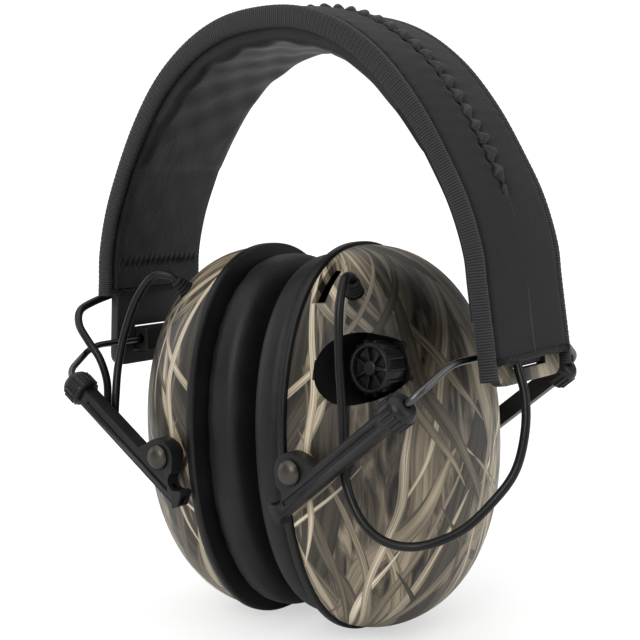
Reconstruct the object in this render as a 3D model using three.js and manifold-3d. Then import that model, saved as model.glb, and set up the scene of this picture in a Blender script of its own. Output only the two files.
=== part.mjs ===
// Earmuff hearing protector with a padded strap, wire bails, sliding yoke arms and two electronic ear cups.
// Millimetres, +Z up, +X to the wearer's cup with the volume knob, -Y to the wearer's front.
// The origin is the middle of the crown's underside, where the strap rests on the head.
import * as THREE from "three";
import Module from "manifold-3d";
import { mergeVertices } from "three/addons/utils/BufferGeometryUtils.js";

// Driving dimensions.
const STRAP_WIDTH = 37; // front to back, between the bindings
const STRAP_THICKNESS = 6;
const STRAP_POCKET = 3.6; // room inside the sleeve for the spring and the end plates
const CROWN_PAD_THICKNESS = 4.2;
const BINDING_WIDTH = 2.6;
const BINDING_HEIGHT = 5.6;
const SPRING_WIDTH = 22;
const SPRING_THICKNESS = 1.2;
const CROWN_HEIGHT = 7.5; // the spring's height above the origin at the crown
const SIDE_LEAN = 6.3; // degrees that each straight side leans outward
const SIDE_TOP = new THREE.Vector2(66, -52);
const SLEEVE_END = { near: -86.5, far: -69 }; // the sleeve was pulled down further on the near side
const SLEEVE_LINING_END = -76; // the lining stops short of the bail's clip
const PLATE_WIDTH = 36;
const PLATE_THICKNESS = 3;
const PLATE_END = -92.5;
const WINDOW = { width: 17, top: -80.4, bottom: -89 };
const WIRE_RADIUS = 1;
const BAIL_PIVOT = new THREE.Vector3(65.8, 0, -84.7);
const BAIL_HALF_WIDTH = 29; // straight middle of the wire
const ARM_Y = 42; // the plane of each arm, in front of and behind the cup
const ARM_TOP = new THREE.Vector3(58, 0, -95.5);
const ARM_SLOPE = 36.4; // degrees below the horizontal
const ARM_LENGTH = 50;
const ARM_WIDTH = 5;
const ARM_THICKNESS = 4.4;
const COLLAR_RADIUS = 4.75;
const COLLAR_LENGTH = 7;
const RIVET = new THREE.Vector3(24.2, 0, -113.5);
const BOSS_RADIUS = 5.3;
const RIVET_HEAD_RADIUS = 4;
const SHANK_RADIUS = 1.9;
const CUP_Z = -111.5; // height of the cups' centres
const CUP_HALF_HEIGHT = 55.5;
const CUP_HALF_WIDTH = 38;
const CUP_DEPTH = 35;
const CUP_WALL = 2.2;
const CUP_RIM_X = 18.5;
const BASE_X = [15.5, 18.2];
const CUSHION_X = [2.5, 15.2];
const KNOB_SEAT = new THREE.Vector3(38.5, -25.4, -87.5); // just inside the dome, in the middle of the knob
const KNOB_AXIS = new THREE.Vector3(-0.1, -0.99, 0.05).normalize();
const KNOB_RADIUS = 7.6;
const KNOB_RECESS_RADIUS = 8.9;
const CABLE_RADIUS = 1.2;

const wasm = await Module();
wasm.setup();
const { Manifold, Mesh: ManifoldMesh } = wasm;

const MATERIALS = {
  fabric: { color: 0x8f887a, roughness: 0.85, metalness: 0 },
  binding: { color: 0x222224, roughness: 0.8, metalness: 0 },
  vinyl: { color: 0x1c1c1e, roughness: 0.5, metalness: 0 },
  shell: { color: 0x9a9488, roughness: 0.45, metalness: 0 },
  plastic: { color: 0x2f2f31, roughness: 0.5, metalness: 0 },
  rubber: { color: 0x161617, roughness: 0.7, metalness: 0 },
  steel: { color: 0x8a8680, roughness: 0.35, metalness: 1 },
  wire: { color: 0x4a4a4c, roughness: 0.3, metalness: 1 },
  foam: { color: 0x2a2a2c, roughness: 1, metalness: 0 },
  board: { color: 0x1f5a34, roughness: 0.6, metalness: 0 },
  cell: { color: 0x7c7f86, roughness: 0.4, metalness: 0.5 },
};

const group = new THREE.Group();
group.name = "earmuff";

// A three.js geometry as a manifold-3d solid.
function solid(geometry) {
  const bare = geometry.clone();
  bare.deleteAttribute("normal");
  bare.deleteAttribute("uv");
  const merged = mergeVertices(bare, 1e-4);
  return new Manifold(
    new ManifoldMesh({
      numProp: 3,
      vertProperties: new Float32Array(merged.attributes.position.array),
      triVerts: new Uint32Array(merged.index.array),
    }),
  );
}

// A manifold-3d solid as a three.js geometry.
function geometryOf(manifold) {
  const mesh = manifold.getMesh();
  const positions = new Float32Array(mesh.numVert * 3);
  for (let i = 0; i < mesh.numVert; i += 1) {
    positions.set(mesh.vertProperties.subarray(i * mesh.numProp, i * mesh.numProp + 3), i * 3);
  }
  const geometry = new THREE.BufferGeometry();
  geometry.setAttribute("position", new THREE.BufferAttribute(positions, 3));
  geometry.setIndex(new THREE.BufferAttribute(new Uint32Array(mesh.triVerts), 1));
  return geometry;
}

// Adds a piece; a far piece is the mirror image of the near one.
function add(name, shape, finish, side = "near") {
  const whole = shape instanceof Manifold ? shape : solid(shape);
  const placed = side === "far" ? whole.mirror([1, 0, 0]) : whole;
  const geometry = geometryOf(placed);
  geometry.computeVertexNormals();
  const mesh = new THREE.Mesh(geometry, new THREE.MeshStandardMaterial(MATERIALS[finish]));
  mesh.name = name;
  group.add(mesh);
}

// A box between two corners.
function box(low, high) {
  const size = high.map((v, i) => v - low[i]);
  return Manifold.cube(size).translate(low);
}

// A rod from one point towards another, with its round profile as [radius, distance] pairs.
function turned(profile, from, towards, segments = 24) {
  const points = profile.map(([r, h]) => new THREE.Vector2(r, h));
  const geometry = new THREE.LatheGeometry(points, segments);
  const turn = new THREE.Quaternion().setFromUnitVectors(
    new THREE.Vector3(0, 1, 0),
    towards.clone().sub(from).normalize(),
  );
  geometry.applyQuaternion(turn);
  geometry.translate(from.x, from.y, from.z);
  return solid(geometry);
}

// A plain rod between two points.
function rod(from, to, radius, segments = 20) {
  const length = from.distanceTo(to);
  return turned([[0, 0], [radius, 0], [radius, length], [0, length]], from, to, segments);
}

// A round tube along a curve.
function tube(curve, radius, steps, sides) {
  const section = new THREE.Shape();
  for (let i = 0; i < sides; i += 1) {
    const angle = (2 * Math.PI * i) / sides;
    const x = radius * Math.cos(angle);
    const y = radius * Math.sin(angle);
    if (i) section.lineTo(x, y);
    else section.moveTo(x, y);
  }
  section.closePath();
  return solid(new THREE.ExtrudeGeometry(section, { extrudePath: curve, steps, curveSegments: 1 }));
}

// A path of straight stretches with rounded corners.
function roundedPath(points, radius) {
  const path = new THREE.CurvePath();
  let start = points[0];
  for (let i = 1; i < points.length - 1; i += 1) {
    const corner = points[i];
    const before = corner.clone().add(points[i - 1].clone().sub(corner).setLength(radius));
    const after = corner.clone().add(points[i + 1].clone().sub(corner).setLength(radius));
    path.add(new THREE.LineCurve3(start, before));
    path.add(new THREE.QuadraticBezierCurve3(before, corner, after));
    start = after;
  }
  path.add(new THREE.LineCurve3(start, points.at(-1)));
  return path;
}

// An ellipse-like outline in which a larger power gives squarer corners.
function oval(halfWidth, halfHeight, count, power = 2.2) {
  return Array.from({ length: count }, (_, i) => {
    const angle = (2 * Math.PI * i) / count;
    const c = Math.cos(angle);
    const s = Math.sin(angle);
    return new THREE.Vector2(
      halfWidth * Math.sign(c) * Math.abs(c) ** (2 / power),
      halfHeight * Math.sign(s) * Math.abs(s) ** (2 / power),
    );
  });
}

// Stands a geometry that was drawn in XY and extruded along Z on its edge: X to Y, Y to Z, Z to X.
function facingX(geometry) {
  const turn = new THREE.Matrix4().set(0, 0, 1, 0, 1, 0, 0, 0, 0, 1, 0, 0, 0, 0, 0, 1);
  return geometry.applyMatrix4(turn);
}

// ---- Strap ----

// The middle line of the strap from the crown to the near end; the far half mirrors it.
const LEAN = Math.tan(THREE.MathUtils.degToRad(SIDE_LEAN));
const sideX = (z) => SIDE_TOP.x + (SIDE_TOP.y - z) * LEAN;
const ARCH_POINTS = [
  [0, CROWN_HEIGHT],
  [14, 6.1],
  [27, 1],
  [39, -8],
  [49.3, -20.5],
  [57.4, -34.2],
  [62.9, -45.5],
];

const LOWEST = -99;
const rightHalf = [
  ...ARCH_POINTS.map(([x, z]) => new THREE.Vector3(x, z, 0)),
  ...[-58, -66, -80, LOWEST].map((z) => new THREE.Vector3(sideX(z), z, 0)),
];
const leftHalf = rightHalf.slice(1).reverse().map((p) => new THREE.Vector3(-p.x, p.y, 0));
const arch = new THREE.CatmullRomCurve3([...leftHalf, ...rightHalf], false, "centripetal");
arch.arcLengthDivisions = 800;

// How far along the arch its near half comes down to a height, as a share of the whole length.
function shareAt(height) {
  let low = 0.5;
  let high = 1;
  for (let i = 0; i < 24; i += 1) {
    const middle = (low + high) / 2;
    if (arch.getPointAt(middle).y > height) low = middle;
    else high = middle;
  }
  return low;
}

// Points of the arch from one height on the far half to another on the near half.
function archLine(farEnd, nearEnd, count = 44) {
  const first = 1 - shareAt(farEnd);
  const last = shareAt(nearEnd);
  return Array.from({ length: count + 1 }, (_, i) => {
    const point = arch.getPointAt(first + ((last - first) * i) / count);
    return new THREE.Vector2(point.x, point.y);
  });
}

// A ribbon that follows the arch between two distances outward from the middle line.
function ribbon(line, inner, outer, low, high) {
  const normals = line.map((p, i) => {
    const before = line[Math.max(i - 1, 0)];
    const after = line[Math.min(i + 1, line.length - 1)];
    const along = after.clone().sub(before).normalize();
    return new THREE.Vector2(-along.y, along.x);
  });
  const at = (offset) => line.map((p, i) => {
    const reach = typeof offset === "function" ? offset(p) : offset;
    return p.clone().addScaledVector(normals[i], reach);
  });
  const outline = [...at(inner), ...at(outer).reverse()];
  const geometry = new THREE.ExtrudeGeometry(new THREE.Shape(outline), {
    depth: high - low,
    bevelEnabled: false,
    curveSegments: 1,
  });
  // Drawn in XZ, extruded along Y.
  geometry.rotateX(Math.PI / 2);
  geometry.translate(0, high, 0);
  return solid(geometry);
}

const CLEARANCE = 0.3;
const sleeveHalf = STRAP_THICKNESS / 2;
const pocketHalf = STRAP_POCKET / 2;
const strapY = STRAP_WIDTH / 2;
const PLATE_INSET = 1.6;
const plateY = PLATE_WIDTH / 2 - PLATE_INSET;
const sleeveLine = archLine(SLEEVE_END.far, SLEEVE_END.near);

// The outer cover, hollow from end to end. The lining side of the near end stops short of the bail.
function bandSleeve() {
  const cover = ribbon(sleeveLine, -sleeveHalf, sleeveHalf, -strapY, strapY);
  const pocketLine = archLine(SLEEVE_END.far - 3, SLEEVE_END.near - 3);
  const pocket = ribbon(pocketLine, -pocketHalf, pocketHalf, -plateY - CLEARANCE, plateY + CLEARANCE);
  const lining = box(
    [sideX(SLEEVE_END.near) - 9, -STRAP_WIDTH, SLEEVE_END.near - 3],
    [sideX(SLEEVE_END.near) - 0.5, STRAP_WIDTH, SLEEVE_LINING_END],
  );
  return cover.subtract(pocket).subtract(lining);
}
add("band_sleeve", bandSleeve(), "fabric");

// The spring ends 3 mm inside the slots of the end plates.
const PLATE_TOP = -59;
const SPRING_END = PLATE_TOP - 10;
const SPRING_SLOT_DEPTH = 13;
add(
  "spring_band",
  ribbon(
    archLine(SPRING_END, SPRING_END),
    -SPRING_THICKNESS / 2,
    SPRING_THICKNESS / 2,
    -SPRING_WIDTH / 2,
    SPRING_WIDTH / 2,
  ),
  "steel",
);

// The padding under the crown is thickest in the middle and fades out down the sides.
const PAD_END = -30;
const PAD_EDGE = 0.6;
const padReach = (p) => {
  const fade = Math.max(0, (p.y - PAD_END) / (CROWN_HEIGHT - PAD_END));
  return -sleeveHalf - CLEARANCE - PAD_EDGE - (CROWN_PAD_THICKNESS - PAD_EDGE) * Math.sqrt(fade);
};
add(
  "crown_pad",
  ribbon(archLine(PAD_END, PAD_END, 32), padReach, -sleeveHalf - CLEARANCE, -strapY, strapY),
  "vinyl",
);

// Piping along the front and the rear edge, deeper at the crown where it also closes the padding.
const BINDING_DROP = 2.4;
const bindingInner = (p) => {
  const fade = Math.max(0, (p.y - PAD_END) / (CROWN_HEIGHT - PAD_END));
  return -BINDING_DROP - (CROWN_PAD_THICKNESS - PAD_EDGE) * Math.sqrt(fade);
};
const bindingY = strapY + CLEARANCE;
const frontLine = archLine(SLEEVE_END.far - 1, SLEEVE_END.near - 4);
const binding = ribbon(frontLine, bindingInner, BINDING_HEIGHT / 2, bindingY, bindingY + BINDING_WIDTH);
add("rear_binding", binding, "binding");
add("front_binding", binding.mirror([0, 1, 0]), "binding");

// The gathered seam that runs along the middle of the top.
const SEAM_HEIGHT = 1.5;
const SEAM_HALF_WIDTH = 1.4;
const seamLine = archLine(SLEEVE_END.far + 1, SLEEVE_END.near + 1, 40);
add(
  "crown_seam",
  ribbon(
    seamLine,
    sleeveHalf + CLEARANCE,
    sleeveHalf + CLEARANCE + SEAM_HEIGHT,
    -SEAM_HALF_WIDTH,
    SEAM_HALF_WIDTH,
  ),
  "fabric",
);

// ---- End plates and the clips that hold the bails ----

// A point in an end plate's own plane: how far along the lean, and how far outward from its middle.
const tilt = -SIDE_LEAN;
const plateMiddle = new THREE.Vector3(sideX(PLATE_TOP), 0, PLATE_TOP);

// Places a solid drawn with the plate upright and its top edge at the origin.
function onPlate(drawn) {
  return drawn.rotate([0, tilt, 0]).translate(plateMiddle.toArray());
}

const PLATE_LENGTH = (PLATE_TOP - PLATE_END) / Math.cos(THREE.MathUtils.degToRad(SIDE_LEAN));
const PLATE_CORNER = 4;

function endPlate() {
  const t = PLATE_THICKNESS / 2;
  const outline = new THREE.Shape();
  outline.moveTo(-plateY, 0);
  outline.lineTo(-plateY, -PLATE_LENGTH + PLATE_CORNER);
  outline.quadraticCurveTo(-plateY, -PLATE_LENGTH, -plateY + PLATE_CORNER, -PLATE_LENGTH);
  outline.lineTo(plateY - PLATE_CORNER, -PLATE_LENGTH);
  outline.quadraticCurveTo(plateY, -PLATE_LENGTH, plateY, -PLATE_LENGTH + PLATE_CORNER);
  outline.lineTo(plateY, 0);
  const flat = new THREE.ExtrudeGeometry(outline, { depth: 2 * t, bevelEnabled: false, curveSegments: 5 });
  const plate = solid(facingX(flat)).translate([-t, 0, 0]);
  const windowHalf = WINDOW.width / 2;
  const window = box([-9, -windowHalf, WINDOW.bottom - PLATE_TOP], [9, windowHalf, WINDOW.top - PLATE_TOP]);
  const slotHalf = SPRING_THICKNESS / 2 + CLEARANCE;
  const slotY = SPRING_WIDTH / 2 + CLEARANCE;
  const springSlot = box([-slotHalf, -slotY, -SPRING_SLOT_DEPTH], [slotHalf, slotY, 1]);
  return onPlate(plate.subtract(window).subtract(springSlot));
}

// A saddle through the plate's window, bored for the wire and flanged on the inside.
function bailClip() {
  const reach = WINDOW.width / 2 - CLEARANCE;
  const middle = (WINDOW.top + WINDOW.bottom) / 2;
  const halfTall = (WINDOW.top - WINDOW.bottom) / 2 - 2 * CLEARANCE;
  const outerX = sideX(WINDOW.top) + PLATE_THICKNESS / 2 - 0.2;
  const innerX = BAIL_PIVOT.x - 3;
  const block = box([innerX, -reach, middle - halfTall], [outerX, reach, middle + halfTall]);
  const bore = rod(
    new THREE.Vector3(BAIL_PIVOT.x, -STRAP_WIDTH, BAIL_PIVOT.z),
    new THREE.Vector3(BAIL_PIVOT.x, STRAP_WIDTH, BAIL_PIVOT.z),
    WIRE_RADIUS + CLEARANCE,
    16,
  );
  return block.subtract(bore);
}

// ---- Bails, arms, collars and rivets ----

const slope = THREE.MathUtils.degToRad(ARM_SLOPE);
const armAlong = new THREE.Vector3(-Math.cos(slope), 0, -Math.sin(slope));

// A point on an arm's middle line, measured down from the collar's middle.
function onArm(distance, front = -1) {
  const point = ARM_TOP.clone().addScaledVector(armAlong, distance);
  point.y = front * ARM_Y;
  return point;
}

const LEG_END = 44;
const LEG_TOP = -6.5;

function bail() {
  const corner = (front) => new THREE.Vector3(BAIL_PIVOT.x, front * BAIL_HALF_WIDTH, BAIL_PIVOT.z);
  const points = [onArm(LEG_END, -1), onArm(LEG_TOP, -1), corner(-1), corner(1), onArm(LEG_TOP, 1)];
  points.push(onArm(LEG_END, 1));
  return tube(roundedPath(points, 4.5), WIRE_RADIUS, 56, 8);
}

const BORE = WIRE_RADIUS + CLEARANCE;
const ARM_START = COLLAR_LENGTH / 2 + CLEARANCE;

const armUp = new THREE.Vector3(-armAlong.z, 0, armAlong.x).multiplyScalar(-1);

// A solid from an outline of [distance along the arm, distance above it] pairs.
function besideArm(outline, y0, y1) {
  const corners = outline.map(([along, up]) => {
    const point = onArm(along).addScaledVector(armUp, up);
    return new THREE.Vector2(point.x, point.z);
  });
  if (THREE.ShapeUtils.area(corners) < 0) corners.reverse();
  const geometry = new THREE.ExtrudeGeometry(new THREE.Shape(corners), {
    depth: y1 - y0,
    bevelEnabled: false,
  });
  geometry.rotateX(Math.PI / 2);
  geometry.translate(0, y1, 0);
  return solid(geometry);
}

// A moulded bar with a channel for the bail's leg and a boss above it for the rivet.
function arm(front) {
  const y0 = front * ARM_Y - ARM_THICKNESS / 2;
  const y1 = front * ARM_Y + ARM_THICKNESS / 2;
  const w = ARM_WIDTH / 2;
  const bar = besideArm(
    [
      [ARM_START, -w],
      [ARM_LENGTH - 1, -w],
      [ARM_LENGTH, -w - 1.2],
      [ARM_LENGTH + 1.2, -w + 0.6],
      [ARM_LENGTH + 0.4, w],
      [ARM_START, w],
    ],
    y0,
    y1,
  );
  const low = new THREE.Vector3(RIVET.x, y0, RIVET.z);
  const high = new THREE.Vector3(RIVET.x, y1, RIVET.z);
  const boss = rod(low, high, BOSS_RADIUS, 32);
  const root = besideArm([[30, -1], [46, -1], [46, w - 0.4], [30, w - 0.4]], y0, y1);
  const web = Manifold.hull([boss, root]);
  const eye = rod(low.clone().setY(y0 - 1), high.clone().setY(y1 + 1), SHANK_RADIUS + CLEARANCE, 20);
  const channel = rod(onArm(-4, front), onArm(ARM_LENGTH + 6, front), BORE, 12);
  return bar.add(web).subtract(eye).subtract(channel);
}

// The grip above an arm, ribbed all round, which runs along the bail's leg with the arm.
const COLLAR_RIBS = 9;
function collar(front) {
  const bottom = onArm(COLLAR_LENGTH / 2, front);
  const top = onArm(-COLLAR_LENGTH / 2, front);
  const profile = [
    [0, 0],
    [COLLAR_RADIUS - 0.6, 0],
    [COLLAR_RADIUS - 0.3, 0.5],
    [COLLAR_RADIUS - 0.3, COLLAR_LENGTH - 1.2],
    [COLLAR_RADIUS - 1.2, COLLAR_LENGTH],
    [0, COLLAR_LENGTH],
  ];
  let grip = turned(profile, bottom, top, 20);
  const leg = top.clone().sub(bottom).normalize();
  const side = new THREE.Vector3(0, 1, 0);
  for (let i = 0; i < COLLAR_RIBS; i += 1) {
    const out = side.clone().applyAxisAngle(leg, (2 * Math.PI * i) / COLLAR_RIBS);
    const foot = bottom.clone().addScaledVector(out, COLLAR_RADIUS - 0.3).addScaledVector(leg, 0.8);
    grip = grip.add(rod(foot, foot.clone().addScaledVector(leg, COLLAR_LENGTH - 2.4), 0.3, 6));
  }
  return grip.subtract(rod(onArm(12, front), onArm(-12, front), BORE, 12));
}

// The rivet's dome rests on the boss, and its shank runs through to the bush in the cup.
const BUSH_RADIUS = 3.6;
const BUSH_INNER = 34.6;
const BUSH_OUTER = 39.4;
function rivet(front) {
  const faceY = front * (ARM_Y + ARM_THICKNESS / 2 + CLEARANCE);
  const start = new THREE.Vector3(RIVET.x, front * (BUSH_INNER + 0.6), RIVET.z);
  const reach = Math.abs(faceY - start.y);
  const profile = [
    [0, 0],
    [SHANK_RADIUS, 0],
    [SHANK_RADIUS, reach],
    [RIVET_HEAD_RADIUS, reach],
    [RIVET_HEAD_RADIUS * 0.92, reach + 0.9],
    [RIVET_HEAD_RADIUS * 0.6, reach + 1.7],
    [0, reach + 2.1],
  ];
  return turned(profile, start, new THREE.Vector3(RIVET.x, faceY, RIVET.z), 28);
}

// ---- Cups ----

// A domed solid: squarish ovals that shrink along X from the rim to the pole.
function dome(rimX, depth, halfWidth, halfHeight, rings, count) {
  const outline = oval(halfWidth, halfHeight, count);
  const points = [];
  const indices = [];
  for (let ring = 0; ring < rings; ring += 1) {
    const angle = (Math.PI / 2) * (ring / rings);
    const size = Math.cos(angle) ** 0.8;
    const x = rimX + depth * Math.sin(angle) ** 0.95;
    outline.forEach((p) => points.push(x, p.x * size, CUP_Z + p.y * size));
  }
  const pole = points.length / 3;
  points.push(rimX + depth, 0, CUP_Z, rimX, 0, CUP_Z);
  for (let i = 0; i < count; i += 1) {
    const next = (i + 1) % count;
    for (let ring = 0; ring < rings - 1; ring += 1) {
      const a = ring * count;
      indices.push(a + i, a + next, a + count + next, a + i, a + count + next, a + count + i);
    }
    const last = (rings - 1) * count;
    indices.push(last + i, last + next, pole, next, i, pole + 1);
  }
  const geometry = new THREE.BufferGeometry();
  geometry.setAttribute("position", new THREE.Float32BufferAttribute(points, 3));
  geometry.setIndex(indices);
  return solid(geometry);
}

const domeOuter = dome(CUP_RIM_X, CUP_DEPTH, CUP_HALF_WIDTH, CUP_HALF_HEIGHT, 10, 44);
const domeInner = dome(
  CUP_RIM_X - 1,
  CUP_DEPTH + 1 - CUP_WALL,
  CUP_HALF_WIDTH - CUP_WALL,
  CUP_HALF_HEIGHT - CUP_WALL,
  7,
  30,
);

// A point at a distance out from the knob's seat along its axis.
const onKnobAxis = (distance) => KNOB_SEAT.clone().addScaledVector(KNOB_AXIS, distance);
const KNOB_RECESS_FLOOR = -6;
const KNOB_FACE = 1.6;
const GROMMET = new THREE.Vector3(31, -22, -67.6);
const GROMMET_OUT = new THREE.Vector3(0.35, -0.6, 0.72).normalize();
const GROMMET_RADIUS = 2.7;
const MIC = new THREE.Vector3(45.5, 17, -87.5);
const MIC_OUT = new THREE.Vector3(0.8, 0.35, 0.5).normalize();
const MIC_RADIUS = 2.4;
const along = (from, direction, distance) => from.clone().addScaledVector(direction, distance);

// The hollow shell with the openings that both cups share.
function plainShell() {
  const wallPoint = (front) => new THREE.Vector3(RIVET.x, front * (ARM_Y + 3), RIVET.z);
  const inside = (front) => new THREE.Vector3(RIVET.x, front * 20, RIVET.z);
  return domeOuter
    .subtract(domeInner)
    .subtract(rod(inside(-1), wallPoint(-1), BUSH_RADIUS + CLEARANCE, 24))
    .subtract(rod(inside(1), wallPoint(1), BUSH_RADIUS + CLEARANCE, 24))
    .subtract(rod(along(GROMMET, GROMMET_OUT, -8), along(GROMMET, GROMMET_OUT, 10), GROMMET_RADIUS, 18))
    .subtract(rod(along(MIC, MIC_OUT, -9), along(MIC, MIC_OUT, 10), MIC_RADIUS, 16));
}

// The knob's recess is a rounded slot that runs from the knob towards the rim.
const RECESS_WALL = 1.8;
const RECESS_WAY = new THREE.Vector3(-0.995, 0.1005, 0).normalize();
const RECESS_REACH = 2;
const RECESS_END_RADIUS = 9.5;
function recess(low, high, grow) {
  const foot = onKnobAxis(low);
  const top = onKnobAxis(high);
  const knobEnd = rod(foot, top, KNOB_RECESS_RADIUS + grow, 36);
  const rimFoot = along(foot, RECESS_WAY, RECESS_REACH);
  const rimTop = along(top, RECESS_WAY, RECESS_REACH);
  const rimEnd = rod(rimFoot, rimTop, RECESS_END_RADIUS + grow, 36);
  return Manifold.hull([knobEnd, rimEnd]);
}

// The near shell also has the walled recess for the volume knob, bored for its shaft.
const SOCKET_LOW = [20.6, -24.5, -70];
const SOCKET_HIGH = [24.4, -17.5, -58];
function nearShell() {
  const well = recess(KNOB_RECESS_FLOOR - RECESS_WALL, 14, RECESS_WALL);
  const hollow = recess(KNOB_RECESS_FLOOR, 16, 0);
  const shaftHole = rod(onKnobAxis(KNOB_RECESS_FLOOR - 4), onKnobAxis(0), 3, 20);
  const walled = plainShell().add(well.intersect(domeOuter));
  return walled.subtract(hollow).subtract(shaftHole).subtract(box(SOCKET_LOW, SOCKET_HIGH));
}

// The far shell has a rectangular battery opening in its outer face.
const DOOR = { y: 12, halfHeight: 25, z: CUP_Z - 8, gap: 0.4 };
const doorCut = (grow, low, high) =>
  box(
    [low, -DOOR.y - grow, DOOR.z - DOOR.halfHeight - grow],
    [high, DOOR.y + grow, DOOR.z + DOOR.halfHeight + grow],
  );
const DOOR_FLOOR_X = 36;
const DOOR_TOP_X = CUP_RIM_X + CUP_DEPTH + 2;
function farShell() {
  return plainShell().subtract(doorCut(DOOR.gap, DOOR_FLOOR_X - 4, DOOR_TOP_X));
}

// An oval slab or ring across X with rounded edges.
function ovalRing(x0, x1, outer, inner, rounding, count = 32) {
  const shape = new THREE.Shape(oval(outer[0] - rounding, outer[1] - rounding, count));
  if (inner) {
    shape.holes.push(new THREE.Path(oval(inner[0] + rounding, inner[1] + rounding, 24).reverse()));
  }
  const geometry = new THREE.ExtrudeGeometry(shape, {
    depth: x1 - x0 - 2 * rounding,
    bevelEnabled: rounding > 0,
    bevelThickness: rounding,
    bevelSize: rounding,
    bevelSegments: rounding > 2 ? 3 : 1,
    curveSegments: 1,
  });
  geometry.translate(0, 0, x0 + rounding);
  return solid(facingX(geometry)).translate([0, 0, CUP_Z]);
}

const BASE_HALF = [CUP_HALF_WIDTH + 1, CUP_HALF_HEIGHT + 1];
const CUSHION_HALF = [CUP_HALF_WIDTH - 2.5, CUP_HALF_HEIGHT - 2.5];
const EAR_HALF = [17, 30];
const SPEAKER_RADIUS = 16;
const SPEAKER_HOLE = 11;

function basePlate() {
  const plate = ovalRing(BASE_X[0], BASE_X[1], BASE_HALF, null, 0.9, 44);
  const middle = new THREE.Vector3(BASE_X[0] - 2, 0, CUP_Z);
  return plate.subtract(rod(middle, middle.clone().setX(BASE_X[1] + 2), SPEAKER_HOLE, 28));
}

function speaker() {
  const start = new THREE.Vector3(BASE_X[1] + CLEARANCE, 0, CUP_Z);
  const profile = [
    [0, 0],
    [SPEAKER_RADIUS, 0],
    [SPEAKER_RADIUS, 3],
    [9, 5],
    [9, 9],
    [0, 9],
  ];
  return turned(profile, start, start.clone().setX(50), 32);
}

function bush(front) {
  const at = (y) => new THREE.Vector3(RIVET.x, front * y, RIVET.z);
  const hole = rod(at(BUSH_INNER - 1), at(BUSH_OUTER + 1), SHANK_RADIUS + CLEARANCE, 20);
  return rod(at(BUSH_INNER), at(BUSH_OUTER), BUSH_RADIUS, 24).subtract(hole);
}

function grommet() {
  const start = along(GROMMET, GROMMET_OUT, -3);
  const r = GROMMET_RADIUS - CLEARANCE;
  const profile = [[0, 0], [r, 0], [r, 6], [r - 0.6, 7.5], [0, 7.5]];
  const whole = turned(profile, start, GROMMET, 18);
  const boreStart = along(GROMMET, GROMMET_OUT, -6);
  const boreEnd = along(GROMMET, GROMMET_OUT, 9);
  return whole.subtract(rod(boreStart, boreEnd, CABLE_RADIUS + 0.25, 12));
}

function microphone() {
  const start = along(MIC, MIC_OUT, -5);
  const r = MIC_RADIUS - CLEARANCE;
  return turned([[0, 0], [r, 0], [r, 5.2], [r - 0.5, 5.8], [0, 5.8]], start, MIC, 16);
}

// ---- Electronics ----

function volumeKnob() {
  const base = onKnobAxis(KNOB_RECESS_FLOOR + CLEARANCE);
  const height = KNOB_FACE - KNOB_RECESS_FLOOR - CLEARANCE;
  const profile = [
    [0, 0],
    [KNOB_RADIUS, 0],
    [KNOB_RADIUS - 0.5, height - 1],
    [KNOB_RADIUS - 1.5, height],
    [KNOB_RADIUS - 2.6, height],
    [KNOB_RADIUS - 3, height - 0.8],
    [0, height - 0.8],
  ];
  let knob = turned(profile, base, onKnobAxis(20), 32);
  const side = new THREE.Vector3(0, 0, 1).cross(KNOB_AXIS).normalize();
  const ribs = 14;
  for (let i = 0; i < ribs; i += 1) {
    const out = side.clone().applyAxisAngle(KNOB_AXIS, (2 * Math.PI * i) / ribs);
    const foot = along(base, out, KNOB_RADIUS - 0.4);
    knob = knob.add(rod(along(foot, KNOB_AXIS, 0.4), along(foot, KNOB_AXIS, height - 1.4), 0.7, 6));
  }
  const socket = rod(along(base, KNOB_AXIS, -1), along(base, KNOB_AXIS, 4.5), 2.3, 16);
  return knob.subtract(socket);
}

function volumePot() {
  const start = onKnobAxis(KNOB_RECESS_FLOOR - RECESS_WALL - CLEARANCE - 5);
  const profile = [[0, 0], [5.5, 0], [5.5, 5], [2, 5], [2, 10.5], [0, 10.5]];
  return turned(profile, start, onKnobAxis(0), 24);
}

function circuitBoard() {
  return box([29.5, -14, CUP_Z - 32], [31.1, 14, CUP_Z + 4]);
}

// An open tray for two cells, which stand side by side behind the door.
const TRAY_WALL = 1.4;
const TRAY_X = [31.6, 41];
function batteryTray() {
  const low = DOOR.z - DOOR.halfHeight;
  const high = DOOR.z + DOOR.halfHeight;
  const wallY = DOOR.y - TRAY_WALL / 2;
  const outer = box([TRAY_X[0], -DOOR.y, low], [TRAY_X[1], DOOR.y, high]);
  const roomLow = [TRAY_X[0] + TRAY_WALL, -wallY, low + TRAY_WALL];
  const room = box(roomLow, [TRAY_X[1] + 1, wallY, high - TRAY_WALL]);
  return outer.subtract(room);
}

const CELL = { radius: 5.15, length: 43.4, x: 38.5, y: 5.45 };
function cell(front) {
  const start = new THREE.Vector3(CELL.x, front * CELL.y, DOOR.z - CELL.length / 2);
  const l = CELL.length;
  const profile = [[0, 0], [CELL.radius, 0], [CELL.radius, l], [1.9, l], [1.9, l + 1], [0, l + 1]];
  return turned(profile, start, start.clone().setZ(0), 24);
}

function batteryDoor() {
  return domeOuter.subtract(domeInner).intersect(doorCut(0, DOOR_FLOOR_X, DOOR_TOP_X));
}

// ---- Cables ----

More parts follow.
